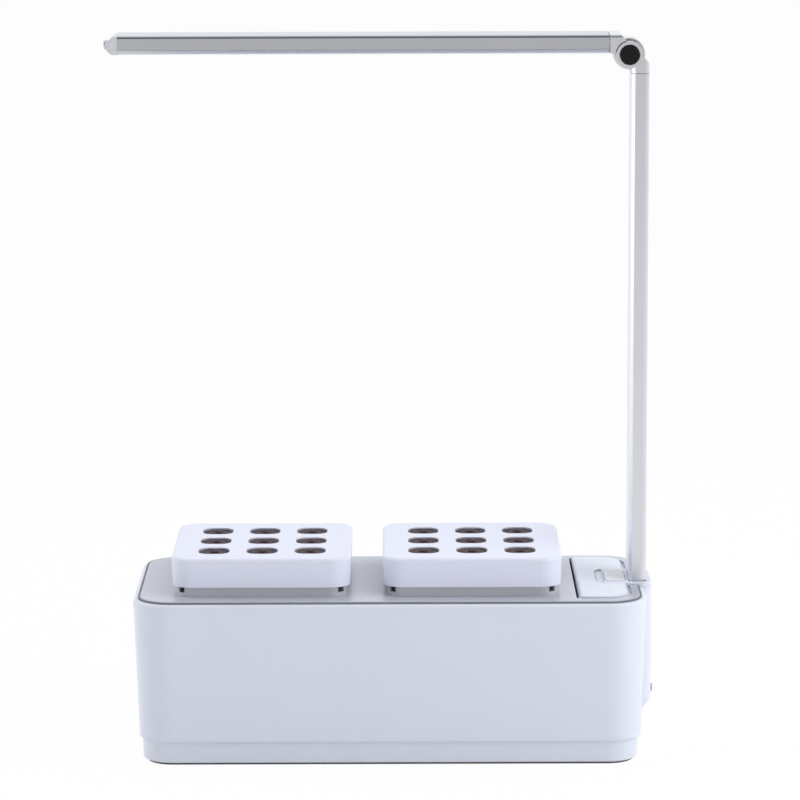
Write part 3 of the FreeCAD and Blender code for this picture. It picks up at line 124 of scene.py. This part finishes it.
class Recipe:
    """A node tree and the one way to add nodes to it."""

    def __init__(self, tree: bpy.types.NodeTree) -> None:
        """Start from an empty tree."""
        self.tree = tree
        self.tree.nodes.clear()

    def node(self, kind: str, settings: dict | None = None,
             sockets: dict | None = None) -> bpy.types.Node:
        """Add a node, with its settings first and then its sockets.

        Args:
            kind: Blender's name for the node type.
            settings: Properties of the node, such as a Math node's operation.
            sockets: Values or links by the input's name or place.

        Returns:
            The new node.
        """
        made = self.tree.nodes.new(kind)
        for name, value in (settings or {}).items():
            if name == "stops":
                self._set_stops(made, value)
            else:
                setattr(made, name, value)
        for name, value in (sockets or {}).items():
            target = made.inputs[name]
            if isinstance(value, Number):
                value = value.socket
            if isinstance(value, bpy.types.NodeSocket):
                self.tree.links.new(value, target)
            else:
                target.default_value = value
        return made

    @staticmethod
    def _set_stops(ramp: bpy.types.Node, stops: list[tuple[float, Colour]]) -> None:
        """Give a colour ramp its stops.

        Args:
            ramp: The colour ramp node.
            stops: Each stop's place and colour.
        """
        elements = ramp.color_ramp.elements
        while len(elements) < len(stops):
            elements.new(1.0)
        for element, (place, colour) in zip(elements, stops):
            element.position = place
            element.color = (*colour, 1.0)

    def place(self, stretch: Triple = (1.0, 1.0, 1.0)) -> bpy.types.NodeSocket:
        """Return the object's own coordinates, stretched along its axes."""
        where = self.node("ShaderNodeTexCoord").outputs["Object"]
        return self.node("ShaderNodeMapping", None,
                         {"Vector": where, "Scale": stretch}).outputs["Vector"]

    def noise(self, scale: float, detail: float = 3.0, roughness: float = 0.5,
              stretch: Triple = (1.0, 1.0, 1.0)) -> Number:
        """Add a noise pattern.

        Args:
            scale: Features per metre.
            detail: How many finer layers it has.
            roughness: How strong the finer layers are.
            stretch: How the pattern is squeezed along X, Y and Z.

        Returns:
            The noise from 0 to 1.
        """
        made = self.node("ShaderNodeTexNoise", None, {
            "Vector": self.place(stretch), "Scale": scale, "Detail": detail,
            "Roughness": roughness,
        })
        return Number(self, made.outputs["Fac"])

    def blend(self, amount: Number, low: Colour, high: Colour) -> bpy.types.NodeSocket:
        """Mix two colours.

        Args:
            amount: 0 gives the low colour and 1 the high one.
            low: The first colour.
            high: The second colour.

        Returns:
            The mixed colour.
        """
        made = self.node("ShaderNodeMix", {"data_type": "RGBA"}, {0: amount})
        colours = [socket for socket in made.inputs if socket.type == "RGBA"]
        colours[0].default_value = (*low, 1.0)
        colours[1].default_value = (*high, 1.0)
        return next(socket for socket in made.outputs if socket.type == "RGBA")

    def bump(self, height: Number, strength: float, depth: float) -> bpy.types.NodeSocket:
        """Turn a height pattern into a surface normal.

        Args:
            height: The pattern.
            strength: How much of it shows.
            depth: The height of a full step, in metres.

        Returns:
            The normal.
        """
        return self.node("ShaderNodeBump", None, {
            "Height": height, "Strength": strength, "Distance": depth,
        }).outputs["Normal"]

    def surface(self, sockets: dict) -> None:
        """Add the surface shader and the material's output.

        Args:
            sockets: Values or links by the shader's input names.
        """
        shader = self.node("ShaderNodeBsdfPrincipled", None, sockets)
        self.node("ShaderNodeOutputMaterial", None, {"Surface": shader.outputs[0]})


def shade(colour: Colour, factor: float) -> Colour:
    """Return a colour made lighter or darker by a factor."""
    return tuple(min(1.0, channel * factor) for channel in colour)


class Finish(Protocol):
    """What every finish offers."""

    name: str

    def make(self) -> bpy.types.Material:
        """Return the finish as a material."""


def new_recipe(name: str) -> tuple[bpy.types.Material, Recipe]:
    """Return a new material and its empty recipe."""
    material = bpy.data.materials.new(name)
    material.use_nodes = True
    return material, Recipe(material.node_tree)


@dataclass(frozen=True)
class MouldedPlastic:
    """Injection-moulded plastic with a faint cloudiness and a spark-eroded grain.

    Attributes:
        name: The material's name.
        colour: Its mean colour.
        roughness: Its mean roughness.
        shine: How strongly it mirrors, where 0.5 is common plastic.
        cloud_scale: The cloudiness, in features per metre.
        cloud_tint: How far the cloudiness moves the colour.
        cloud_roughness: How far it moves the roughness.
        grain_scale: The grain, in features per metre.
        grain_roughness: How far the grain moves the roughness.
        grain_strength: How much of the grain shows as relief.
        grain_depth: The height of the grain in metres.
    """

    name: str
    colour: Colour
    roughness: float = 0.38
    shine: float = 0.5
    cloud_scale: float = 14.0
    cloud_tint: float = 0.02
    cloud_roughness: float = 0.08
    grain_scale: float = 2600.0
    grain_roughness: float = 0.06
    grain_strength: float = 0.35
    grain_depth: float = 0.00004

    def make(self) -> bpy.types.Material:
        """Return the plastic as a material."""
        material, recipe = new_recipe(self.name)
        cloud = recipe.noise(self.cloud_scale, detail=2.0)
        grain = recipe.noise(self.grain_scale, detail=2.0)
        recipe.surface({
            "Base Color": recipe.blend(cloud, shade(self.colour, 1 - self.cloud_tint),
                                       shade(self.colour, 1 + self.cloud_tint)),
            "Roughness": (self.roughness + (cloud - 0.5) * self.cloud_roughness
                          + (grain - 0.5) * self.grain_roughness),
            "Specular IOR Level": self.shine,
            "Normal": recipe.bump(grain, self.grain_strength, self.grain_depth),
        })
        return material


@dataclass(frozen=True)
class DrawnMetal:
    """Satin metal with fine lines along the way that it was drawn.

    Attributes:
        name: The material's name.
        colour: Its mean colour.
        run: The way that the lines run.
        roughness: Its mean roughness.
        line_scale: The lines, in features per metre across them.
        line_tint: How far the lines move the colour.
        line_roughness: How far they move the roughness.
        line_strength: How much of them shows as relief.
        line_depth: Their height in metres.
        cloud_scale: The slow unevenness, in features per metre.
        cloud_roughness: How far it moves the roughness.
    """

    name: str
    colour: Colour
    run: Run = Run.ALONG_X
    roughness: float = 0.3
    line_scale: float = 5200.0
    line_tint: float = 0.04
    line_roughness: float = 0.16
    line_strength: float = 0.05
    line_depth: float = 0.00003
    cloud_scale: float = 22.0
    cloud_roughness: float = 0.06

    def make(self) -> bpy.types.Material:
        """Return the metal as a material."""
        material, recipe = new_recipe(self.name)
        lines = recipe.noise(self.line_scale, detail=2.0, roughness=0.6, stretch=self.run.value)
        cloud = recipe.noise(self.cloud_scale, detail=2.0)
        recipe.surface({
            "Base Color": recipe.blend(lines, shade(self.colour, 1 - self.line_tint),
                                       shade(self.colour, 1 + self.line_tint)),
            "Metallic": 1.0,
            "Roughness": (self.roughness + (lines - 0.5) * self.line_roughness
                          + (cloud - 0.5) * self.cloud_roughness),
            "Normal": recipe.bump(lines, self.line_strength, self.line_depth),
        })
        return material


@dataclass(frozen=True)
class SoftRubber:
    """Matt rubber with a dusty bloom.

    Attributes:
        name: The material's name.
        colour: The colour that the two bloom factors work on.
        roughness: Its mean roughness.
        bloom_scale: The bloom, in features per metre.
        bloom_dark: The colour's factor where there is no bloom.
        bloom_pale: The colour's factor where the bloom is full.
        bloom_roughness: How far the bloom moves the roughness.
        grain_scale: The grain, in features per metre.
        grain_strength: How much of the grain shows as relief.
        grain_depth: The height of the grain in metres.
    """

    name: str
    colour: Colour
    roughness: float = 0.72
    bloom_scale: float = 60.0
    bloom_dark: float = 0.82
    bloom_pale: float = 1.25
    bloom_roughness: float = 0.2
    grain_scale: float = 1800.0
    grain_strength: float = 0.5
    grain_depth: float = 0.00006

    def make(self) -> bpy.types.Material:
        """Return the rubber as a material."""
        material, recipe = new_recipe(self.name)
        bloom = recipe.noise(self.bloom_scale, detail=4.0)
        grain = recipe.noise(self.grain_scale, detail=2.0)
        recipe.surface({
            "Base Color": recipe.blend(bloom, shade(self.colour, self.bloom_dark),
                                       shade(self.colour, self.bloom_pale)),
            "Roughness": self.roughness + (bloom - 0.5) * self.bloom_roughness,
            "Normal": recipe.bump(grain, self.grain_strength, self.grain_depth),
        })
        return material


@dataclass(frozen=True)
class GrowingSponge:
    """Open-celled brown growing sponge with paler fibres, and with painted shade darkening it down
    in the pores.

    Attributes:
        name: The material's name.
        deep: The colour down in the pores, darkened as painted shade.
        middle: The colour between pores and fibres.
        pale: The colour of the fibres.
        roughness: Its mean roughness.
        crumb_scale: The crumbs, in features per metre.
        crumb_share: The crumbs' share of the relief.
        crumb_roughness: How far they move the roughness.
        pore_scale: The pores, in features per metre.
        pore_share: The pores' share of the relief.
        relief_strength: How much of the relief shows.
        relief_depth: The height of the whole relief in metres.
    """

    name: str
    deep: Colour = (0.026, 0.015, 0.017)
    middle: Colour = (0.058, 0.035, 0.040)
    pale: Colour = (0.105, 0.070, 0.079)
    roughness: float = 0.82
    crumb_scale: float = 520.0
    crumb_share: float = 0.7
    crumb_roughness: float = 0.2
    pore_scale: float = 900.0
    pore_share: float = 0.5
    relief_strength: float = 0.9
    relief_depth: float = 0.0007

    def make(self) -> bpy.types.Material:
        """Return the sponge as a material."""
        material, recipe = new_recipe(self.name)
        crumbs = recipe.noise(self.crumb_scale, detail=6.0, roughness=0.7)
        cells = recipe.node("ShaderNodeTexVoronoi", {"feature": "F1"}, {
            "Vector": recipe.place(), "Scale": self.pore_scale,
        })
        pores = Number(recipe, cells.outputs["Distance"])
        depth = crumbs * self.crumb_share + pores * self.pore_share
        # The colour follows the relief: darkest down in the pores as painted shade, palest on the
        # fibres.
        ramp = recipe.node("ShaderNodeValToRGB", {
            "stops": [(0.34, self.deep), (0.52, self.middle), (0.74, self.pale)],
        }, {"Fac": depth})
        recipe.surface({
            "Base Color": ramp.outputs["Color"],
            "Roughness": self.roughness + (crumbs - 0.5) * self.crumb_roughness,
            "Normal": recipe.bump(depth, self.relief_strength, self.relief_depth),
        })
        return material


@dataclass(frozen=True)
class LacqueredBoard:
    """A circuit board with copper tracks under its lacquer.

    Attributes:
        name: The material's name.
        ground: The colour of the lacquer.
        track: The colour of the tracks under it.
        roughness: The smoothest lacquer's roughness.
        lacquer_scale: The lacquer's unevenness, in features per metre.
        lacquer_roughness: How far it raises the roughness.
        track_scale: Blender's scale of the tracks' pattern.
        track_width: The width of a track on that scale.
        track_strength: How much of the tracks shows as relief.
        track_height: How far a track stands up, in metres.
    """

    name: str
    ground: Colour
    track: Colour
    roughness: float = 0.35
    lacquer_scale: float = 300.0
    lacquer_roughness: float = 0.1
    track_scale: float = 220.0
    track_width: float = 0.03
    track_strength: float = 0.4
    track_height: float = 0.00004

    def make(self) -> bpy.types.Material:
        """Return the board as a material."""
        material, recipe = new_recipe(self.name)
        bricks = recipe.node("ShaderNodeTexBrick", {"offset": 0.35}, {
            "Vector": recipe.place(), "Scale": self.track_scale,
            "Mortar Size": self.track_width, "Mortar Smooth": 0.1,
        })
        tracks = Number(recipe, bricks.outputs["Fac"])
        recipe.surface({
            "Base Color": recipe.blend(tracks, self.ground, self.track),
            "Roughness": (self.roughness
                          + recipe.noise(self.lacquer_scale) * self.lacquer_roughness),
            "Normal": recipe.bump(tracks, self.track_strength, self.track_height),
        })
        return material


@dataclass(frozen=True)
class OpalPlastic:
    """Milky plastic that spreads the lamp's light, with faint lengthwise ribs and painted shade
    between them.

    Attributes:
        name: The material's name.
        colour: Its colour on a rib.
        roughness: The smoothest plastic's roughness.
        cloud_scale: Its unevenness, in features per metre.
        cloud_roughness: How far that raises the roughness.
        rib_scale: Blender's scale of the ribs' bands.
        rib_groove_shade: How much darker it is between ribs, as painted shade in the grooves.
        rib_strength: How much of the ribs shows as relief.
        rib_height: How far a rib stands up, in metres.
        milkiness: The share of light that spreads inside it.
        light_depth: How deep that light goes, in metres.
    """

    name: str
    colour: Colour = (0.80, 0.80, 0.82)
    roughness: float = 0.3
    cloud_scale: float = 40.0
    cloud_roughness: float = 0.1
    rib_scale: float = 420.0
    rib_groove_shade: float = 0.03
    rib_strength: float = 0.3
    rib_height: float = 0.00008
    milkiness: float = 0.15
    light_depth: float = 0.002

    def make(self) -> bpy.types.Material:
        """Return the opal plastic as a material."""
        material, recipe = new_recipe(self.name)
        wave = recipe.node("ShaderNodeTexWave", {"wave_type": "BANDS", "bands_direction": "Y"}, {
            "Vector": recipe.place(), "Scale": self.rib_scale, "Distortion": 0.0,
        })
        ribs = Number(recipe, wave.outputs["Fac"])
        recipe.surface({
            # Darker between the ribs: painted shade in the grooves.
            "Base Color": recipe.blend(ribs, shade(self.colour, 1 - self.rib_groove_shade), self.colour),
            "Roughness": self.roughness + recipe.noise(self.cloud_scale) * self.cloud_roughness,
            "Subsurface Weight": self.milkiness,
            "Subsurface Scale": self.light_depth,
            "Normal": recipe.bump(ribs, self.rib_strength, self.rib_height),
        })
        return material


def give(node: str, finish: Finish) -> None:
    """Dress one CAD node.

    Args:
        node: The node's name in the frame.
        finish: What it is finished in.
    """
    material = finished(finish)
    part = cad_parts[node]
    for slot in part.material_slots:
        slot.material = material
    if not part.material_slots:
        part.data.materials.append(material)
    LOG.info("%s: %s", node, finish.name)


_MADE: dict[str, bpy.types.Material] = {}


def finished(finish: Finish) -> bpy.types.Material:
    """Return the finish's material, made once."""
    if finish.name not in _MADE:
        _MADE[finish.name] = finish.make()
    return _MADE[finish.name]


WHITE_SHELL = MouldedPlastic("white_shell", (0.73, 0.76, 0.86), roughness=0.3)
CAP_WHITE = MouldedPlastic("cap_white", (0.755, 0.775, 0.905), roughness=0.36)
SATIN_DECK = MouldedPlastic("satin_deck", (0.50, 0.52, 0.59), roughness=0.3)
BASKET_GREY = MouldedPlastic("basket_grey", (0.58, 0.575, 0.62), roughness=0.24)
GRID_DARK = MouldedPlastic("grid_dark", (0.08, 0.08, 0.085), roughness=0.5)
TANK_MILK = MouldedPlastic("tank_milk", (0.66, 0.69, 0.72), roughness=0.45)
BUTTON_WHITE = MouldedPlastic("button_white", (0.82, 0.835, 0.86), roughness=0.5)
BLACK_PLASTIC = MouldedPlastic("black_plastic", (0.018, 0.018, 0.02), roughness=0.36)
KNOB_BLACK = MouldedPlastic("knob_black", (0.010, 0.009, 0.011), roughness=0.42, shine=0.18)
INLET_GREY = MouldedPlastic("inlet_grey", (0.42, 0.43, 0.47), roughness=0.4)
END_CAP = MouldedPlastic("end_cap", (0.66, 0.67, 0.71), roughness=0.35)
CHIP_YELLOW = MouldedPlastic("chip_yellow", (0.83, 0.62, 0.16), roughness=0.35)
# The seal is dark partly as its rubber's own colour and partly as painted shadow: it stands in for
# the shade in the gap between the deck's edge and the rim.
SEAL_AS_SHADOW_LINE = SoftRubber("seal_painted_shadow_line", (0.20, 0.205, 0.23))
# The foot ring is dark partly as its rubber's own colour and partly as painted shadow: it stands in
# for the shadow line under the base.
FOOT_AS_SHADOW_LINE = SoftRubber("foot_rubber_shadow_line", (0.12, 0.12, 0.125))
SLEEVE = SoftRubber("lead_sleeve", (0.02, 0.02, 0.022), roughness=0.5)
SPONGE = GrowingSponge("growing_sponge")
CONTROL_BOARD = LacqueredBoard("control_board", (0.015, 0.09, 0.04), (0.05, 0.20, 0.08))
LAMP_BOARD = LacqueredBoard("lamp_board", (0.80, 0.80, 0.78), (0.70, 0.70, 0.67))
OPAL = OpalPlastic("opal_diffuser")
BAR_METAL = DrawnMetal("lamp_bar", (0.62, 0.63, 0.67), Run.ALONG_X)
POST_METAL = DrawnMetal("post_bar", (0.82, 0.83, 0.87), Run.ALONG_Z, roughness=0.36)
HINGE_METAL = DrawnMetal("hinge_metal", (0.86, 0.87, 0.90), Run.ALONG_Y, roughness=0.4)
STEEL = DrawnMetal("plain_steel", (0.55, 0.55, 0.56), Run.ALONG_Y, roughness=0.28)
BRASS = DrawnMetal("contact_brass", (0.78, 0.56, 0.22), Run.ALONG_X, roughness=0.22)


class Group:
    """Some CAD nodes that belong together, each with its finish."""

    finishes: ClassVar[dict[str, Finish]] = {}

    def dress(self) -> None:
        """Give each node of the group its finish."""
        for node, finish in self.finishes.items():
            give(node, finish)


class Basin(Group):
    """The water basin: its shell, tray, foot, tank, deck and splash seal, where the dark foot and
    seal are partly painted shadow lines.
    """

    finishes: ClassVar[dict[str, Finish]] = {
        "housing": WHITE_SHELL,
        "bottom_tray": WHITE_SHELL,
        "foot_ring": FOOT_AS_SHADOW_LINE,
        "tray_screws": STEEL,
        "water_tank": TANK_MILK,
        "deck": SATIN_DECK,
        "deck_seal": SEAL_AS_SHADOW_LINE,
    }


class Controls(Group):
    """The fill hatch, the control cover, the button, its board and the inlet."""

    finishes: ClassVar[dict[str, Finish]] = {
        "fill_hatch": WHITE_SHELL,
        "hatch_pin": STEEL,
        "control_cover": WHITE_SHELL,
        "power_button": BUTTON_WHITE,
        "switch_plunger": BLACK_PLASTIC,
        "tact_switch": BLACK_PLASTIC,
        "control_board": CONTROL_BOARD,
        "board_screws": STEEL,
        "dc_inlet": INLET_GREY,
        "dc_inlet_pin": BRASS,
        "inlet_lead": SLEEVE,
    }


class Lamp(Group):
    """The post, the folding hinge and the lamp bar."""

    finishes: ClassVar[dict[str, Finish]] = {
        "post": POST_METAL,
        "post_screws": STEEL,
        "lamp_lead": SLEEVE,
        "post_knuckle": HINGE_METAL,
        "arm_knuckle": HINGE_METAL,
        "hinge_bolt": STEEL,
        "hinge_nut": STEEL,
        "hinge_washers": BLACK_PLASTIC,
        "hinge_knob": KNOB_BLACK,
        "lamp_profile": BAR_METAL,
        "arm_lead": SLEEVE,
        "led_board": LAMP_BOARD,
        "led_chips": CHIP_YELLOW,
        "diffuser": OPAL,
        "arm_end_cap": END_CAP,
    }


@dataclass
class Planter:
    """One basket with its plug grid, its cap and nine growing plugs.

    Attributes:
        side: Which of the two baskets this is.
        plug_side: The width of a plug.
        plug_corner: The radius of a plug's upright corners.
        corner_steps: How many flats round such a corner.
        crown_inset: How far the raised crown of a plug stands in from its sides.
        crown_rise: How far that crown stands above the plug's shoulder.
        seed_radius: Half the width of the seed hole in a plug's top.
        seed_shoulder: The width of the ring round that hole.
        seed_depth: How deep that hole is.
        per_side: How many plugs stand in a row.
        lumps: How far the sponge's skin stands out and in.
        lump_width: The size of one lump.
        fineness: The width of the finest feature of the skin.
        smooth_below: The angle in degrees below which an edge is shaded smooth.
        pieces: The finished plugs.
    """

    side: Side
    plug_side: float = 0.0188
    plug_corner: float = 0.007
    corner_steps: int = 4
    crown_inset: float = 0.0013
    crown_rise: float = 0.0008
    seed_radius: float = 0.0025
    seed_shoulder: float = 0.0015
    seed_depth: float = 0.008
    per_side: int = 3
    lumps: float = 0.0005
    lump_width: float = 0.0022
    fineness: float = 0.0007
    smooth_below: float = 40.0
    pieces: list[bpy.types.Object] = field(default_factory=list)

    def dress(self) -> None:
        """Give the basket, the grid and the cap their finishes."""
        name = self.side.value
        give(f"basket_{name}", BASKET_GREY)
        give(f"plug_grid_{name}", GRID_DARK)
        give(f"plugs_{name}", SPONGE)
        give(f"lid_{name}", CAP_WHITE)

    def grow(self) -> None:
        """Model one sponge plug and stand a copy in place of each plain one."""
        name = self.side.value
        low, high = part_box(f"plugs_{name}")
        pitch = (high.x - low.x - self.plug_side) / (self.per_side - 1)
        first = Vector((low.x + self.plug_side / 2, low.y + self.plug_side / 2, 0))
        model = self._model_plug(low.z, high.z)
        for row in range(self.per_side):
            for column in range(self.per_side):
                plug = model.copy()
                plug.data = model.data.copy()
                plug.name = f"sponge_plug_{name}_{row + 1}_{column + 1}"
                plug.data.name = plug.name
                bpy.context.collection.objects.link(plug)
                offset = first + Vector((column * pitch, row * pitch, 0))
                for vertex in plug.data.vertices:
                    vertex.co += offset
                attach(plug, f"planter_{name}")
                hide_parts(f"plugs_{name}")
                self.pieces.append(plug)
        bpy.data.objects.remove(model)
        LOG.info("sponge plugs %s: %d", name, len(self.pieces))

    def _model_plug(self, bottom: float, top: float) -> bpy.types.Object:
        """Model one lumpy sponge plug about the Z axis.

        Args:
            bottom: The height of its foot.
            top: The height of its top.

        Returns:
            The plug, with its place in its mesh.
        """
        inner = self.plug_side - 2 * self.lumps
        bpy.ops.object.select_all(action="DESELECT")
        bpy.ops.mesh.primitive_cube_add(size=1, location=(0, 0, 0))
        plug = bpy.context.object
        plug.scale = (inner, inner, top - bottom - 2 * self.lumps)
        plug.location = (0, 0, (top + bottom) / 2)
        bpy.ops.object.transform_apply(location=True, rotation=False, scale=True)
        bpy.ops.object.mode_set(mode="EDIT")
        self._select_edges(plug, lambda a, b: abs(a.z - b.z) > 0.001)
        bpy.ops.mesh.bevel(offset=self.plug_corner, segments=self.corner_steps, affect="EDGES")
        self._select_faces(plug, lambda face: face.normal.z > 0.9)
        bpy.ops.mesh.inset(thickness=self.crown_inset)
        bpy.ops.mesh.extrude_region_move(TRANSFORM_OT_translate={"value": (0, 0, self.crown_rise)})
        bpy.ops.mesh.inset(thickness=inner / 2 - self.crown_inset - self.seed_radius
                           - self.seed_shoulder)
        bpy.ops.mesh.inset(thickness=self.seed_shoulder)
        bpy.ops.mesh.extrude_region_move(
            TRANSFORM_OT_translate={"value": (0, 0, -self.seed_depth)})
        bpy.ops.mesh.select_all(action="SELECT")
        bpy.ops.mesh.normals_make_consistent(inside=False)
        bpy.ops.object.mode_set(mode="OBJECT")
        self._roughen(plug)
        plug.data.materials.clear()
        plug.data.materials.append(finished(SPONGE))
        return plug

    def _roughen(self, plug: bpy.types.Object) -> None:
        """Remesh the plug finely and push its surface in and out.

        Args:
            plug: The plug to make lumpy.
        """
        remesh = plug.modifiers.new("fine", "REMESH")
        remesh.mode = "VOXEL"
        remesh.voxel_size = self.fineness
        bpy.ops.object.modifier_apply(modifier=remesh.name)
        texture = bpy.data.textures.new(f"{plug.name}_lumps", "CLOUDS")
        texture.noise_scale = self.lump_width
        texture.noise_depth = 2
        lumps = plug.modifiers.new("lumps", "DISPLACE")
        lumps.texture = texture
        lumps.texture_coords = "LOCAL"
        lumps.strength = 2 * self.lumps
        lumps.mid_level = 0.5
        bpy.ops.object.modifier_apply(modifier=lumps.name)
        bpy.ops.object.shade_smooth_by_angle(angle=math.radians(self.smooth_below))

    @staticmethod
    def _select_edges(plug: bpy.types.Object, chosen: Callable[[Vector, Vector], bool]) -> None:
        """Select the edges whose two ends pass a test.

        Args:
            plug: The plug, in edit mode.
            chosen: The test of an edge's two ends.
        """
        mesh = bmesh.from_edit_mesh(plug.data)
        bpy.context.tool_settings.mesh_select_mode = (False, True, False)
        for face in mesh.faces:
            face.select = False
        for edge in mesh.edges:
            edge.select = chosen(edge.verts[0].co, edge.verts[1].co)
        bmesh.update_edit_mesh(plug.data)

    @staticmethod
    def _select_faces(plug: bpy.types.Object, chosen: Callable[[bmesh.types.BMFace], bool]) -> None:
        """Select the faces that pass a test.

        Args:
            plug: The plug, in edit mode.
            chosen: The test of a face.
        """
        mesh = bmesh.from_edit_mesh(plug.data)
        bpy.context.tool_settings.mesh_select_mode = (False, False, True)
        for face in mesh.faces:
            face.select_set(chosen(face))
        bmesh.update_edit_mesh(plug.data)


@dataclass(frozen=True)
class Softbox:
    """A square soft light.

    Attributes:
        name: The light's name.
        place: Where it hangs.
        side: The length of its side.
        power: Its power in watts.
        glossy: Whether glossy surfaces mirror it.
        aim: The point that it faces.
    """

    name: str
    place: Triple
    side: float
    power: float
    glossy: bool = True
    aim: Triple = (0.1, 0.0, 0.1)

    def hang(self) -> None:
        """Add the light to the scene."""
        data = bpy.data.lights.new(self.name, "AREA")
        data.shape = "SQUARE"
        data.size = self.side
        data.energy = self.power
        light = bpy.data.objects.new(self.name, data)
        light.visible_glossy = self.glossy
        light.location = self.place
        facing = Vector(self.aim) - Vector(self.place)
        light.rotation_euler = facing.to_track_quat("-Z", "Y").to_euler()
        bpy.context.scene.collection.objects.link(light)


@dataclass
class Studio:
    """The floor, the lights, the world and the camera.

    Attributes:
        lights: The soft lights round the garden.
        sky_before: The level of the room's light in front of the garden.
        sky_rise: How much higher that level is behind it.
        camera_at: Where the camera stands.
        camera_pitch: How far it looks down, in degrees.
        camera_roll: How far it is turned about its line of sight, in degrees.
        lens: Its focal length in millimetres, on a 36 mm sensor.
        floor_side: The side of the square floor.
        floor_glow: How much of the floor is its own light, where the camera sees it.
    """

    lights: tuple[Softbox, ...] = (
        Softbox("right_front", (1.5, -1.5, 1.0), side=2.0, power=17.5, glossy=False),
        Softbox("right_high", (1.3, -0.4, 1.6), side=1.8, power=18.5, glossy=False),
        Softbox("left", (-2.0, 0.1, 1.05), side=2.2, power=19.0, aim=(0.0, 0.0, 0.1)),
    )
    sky_before: float = 0.05
    sky_rise: float = 1.08
    camera_at: Triple = (0.0061, -2.2126, 0.5826)
    camera_pitch: float = 9.84
    camera_roll: float = -0.18
    lens: float = 177.06
    floor_side: float = 40.0
    floor_glow: float = 0.96

    def set_up(self) -> None:
        """Build the whole studio."""
        self._floor()
        self._world()
        for light in self.lights:
            light.hang()
        self._camera()
        bpy.context.scene.view_settings.view_transform = "Standard"

    def _floor(self) -> None:
        """Lay a pale floor that the camera sees as white, and that keeps the shadow."""
        bpy.ops.object.select_all(action="DESELECT")
        bpy.ops.mesh.primitive_plane_add(size=self.floor_side)
        floor = bpy.context.object
        floor.name = "studio_floor"
        material, recipe = new_recipe("studio_floor")
        path = recipe.node("ShaderNodeLightPath")
        seen = (Number(recipe, path.outputs["Is Camera Ray"])
                + Number(recipe, path.outputs["Is Glossy Ray"])
                + Number(recipe, path.outputs["Is Transmission Ray"]))
        matt = recipe.node("ShaderNodeBsdfDiffuse", None, {"Color": (0.9, 0.9, 0.9, 1)})
        glow = recipe.node("ShaderNodeEmission", None, {"Color": (1, 1, 1, 1), "Strength": 1.0})
        mixed = recipe.node("ShaderNodeMixShader", None, {
            0: seen * self.floor_glow, 1: matt.outputs[0], 2: glow.outputs[0],
        })
        recipe.node("ShaderNodeOutputMaterial", None, {"Surface": mixed.outputs[0]})
        floor.data.materials.append(material)

    def _world(self) -> None:
        """Fill the room with soft light that grows towards the back of the garden."""
        world = bpy.data.worlds.new("studio")
        world.use_nodes = True
        bpy.context.scene.world = world
        recipe = Recipe(world.node_tree)
        where = recipe.node("ShaderNodeTexCoord").outputs["Generated"]
        split = recipe.node("ShaderNodeSeparateXYZ", None, {0: where})
        behind = Number(recipe, split.outputs["Y"]) * 0.5 + 0.5
        level = behind * self.sky_rise + self.sky_before
        sky = recipe.node("ShaderNodeBackground", None, {
            "Color": (0.95, 0.97, 1.0, 1), "Strength": level,
        })
        recipe.node("ShaderNodeOutputWorld", None, {"Surface": sky.outputs[0]})

    def _camera(self) -> None:
        """Set the camera at the photograph's viewing angle."""
        data = bpy.data.cameras.new("camera")
        data.lens = self.lens
        data.sensor_width = 36.0
        data.clip_end = 100.0
        camera = bpy.data.objects.new("camera", data)
        camera.location = self.camera_at
        pitch = Matrix.Rotation(math.radians(90 - self.camera_pitch), 3, "X")
        roll = Matrix.Rotation(math.radians(self.camera_roll), 3, "Z")
        camera.rotation_euler = (pitch @ roll).to_euler()
        bpy.context.scene.collection.objects.link(camera)
        bpy.context.scene.camera = camera


def main() -> None:
    """Dress the garden, grow its plugs and set up the studio."""
    logging.basicConfig(level=logging.INFO, format="%(message)s")
    Basin().dress()
    Controls().dress()
    Lamp().dress()
    for side in Side:
        planter = Planter(side)
        planter.dress()
        planter.grow()
    Studio().set_up()


if __name__ == "__main__":
    main()
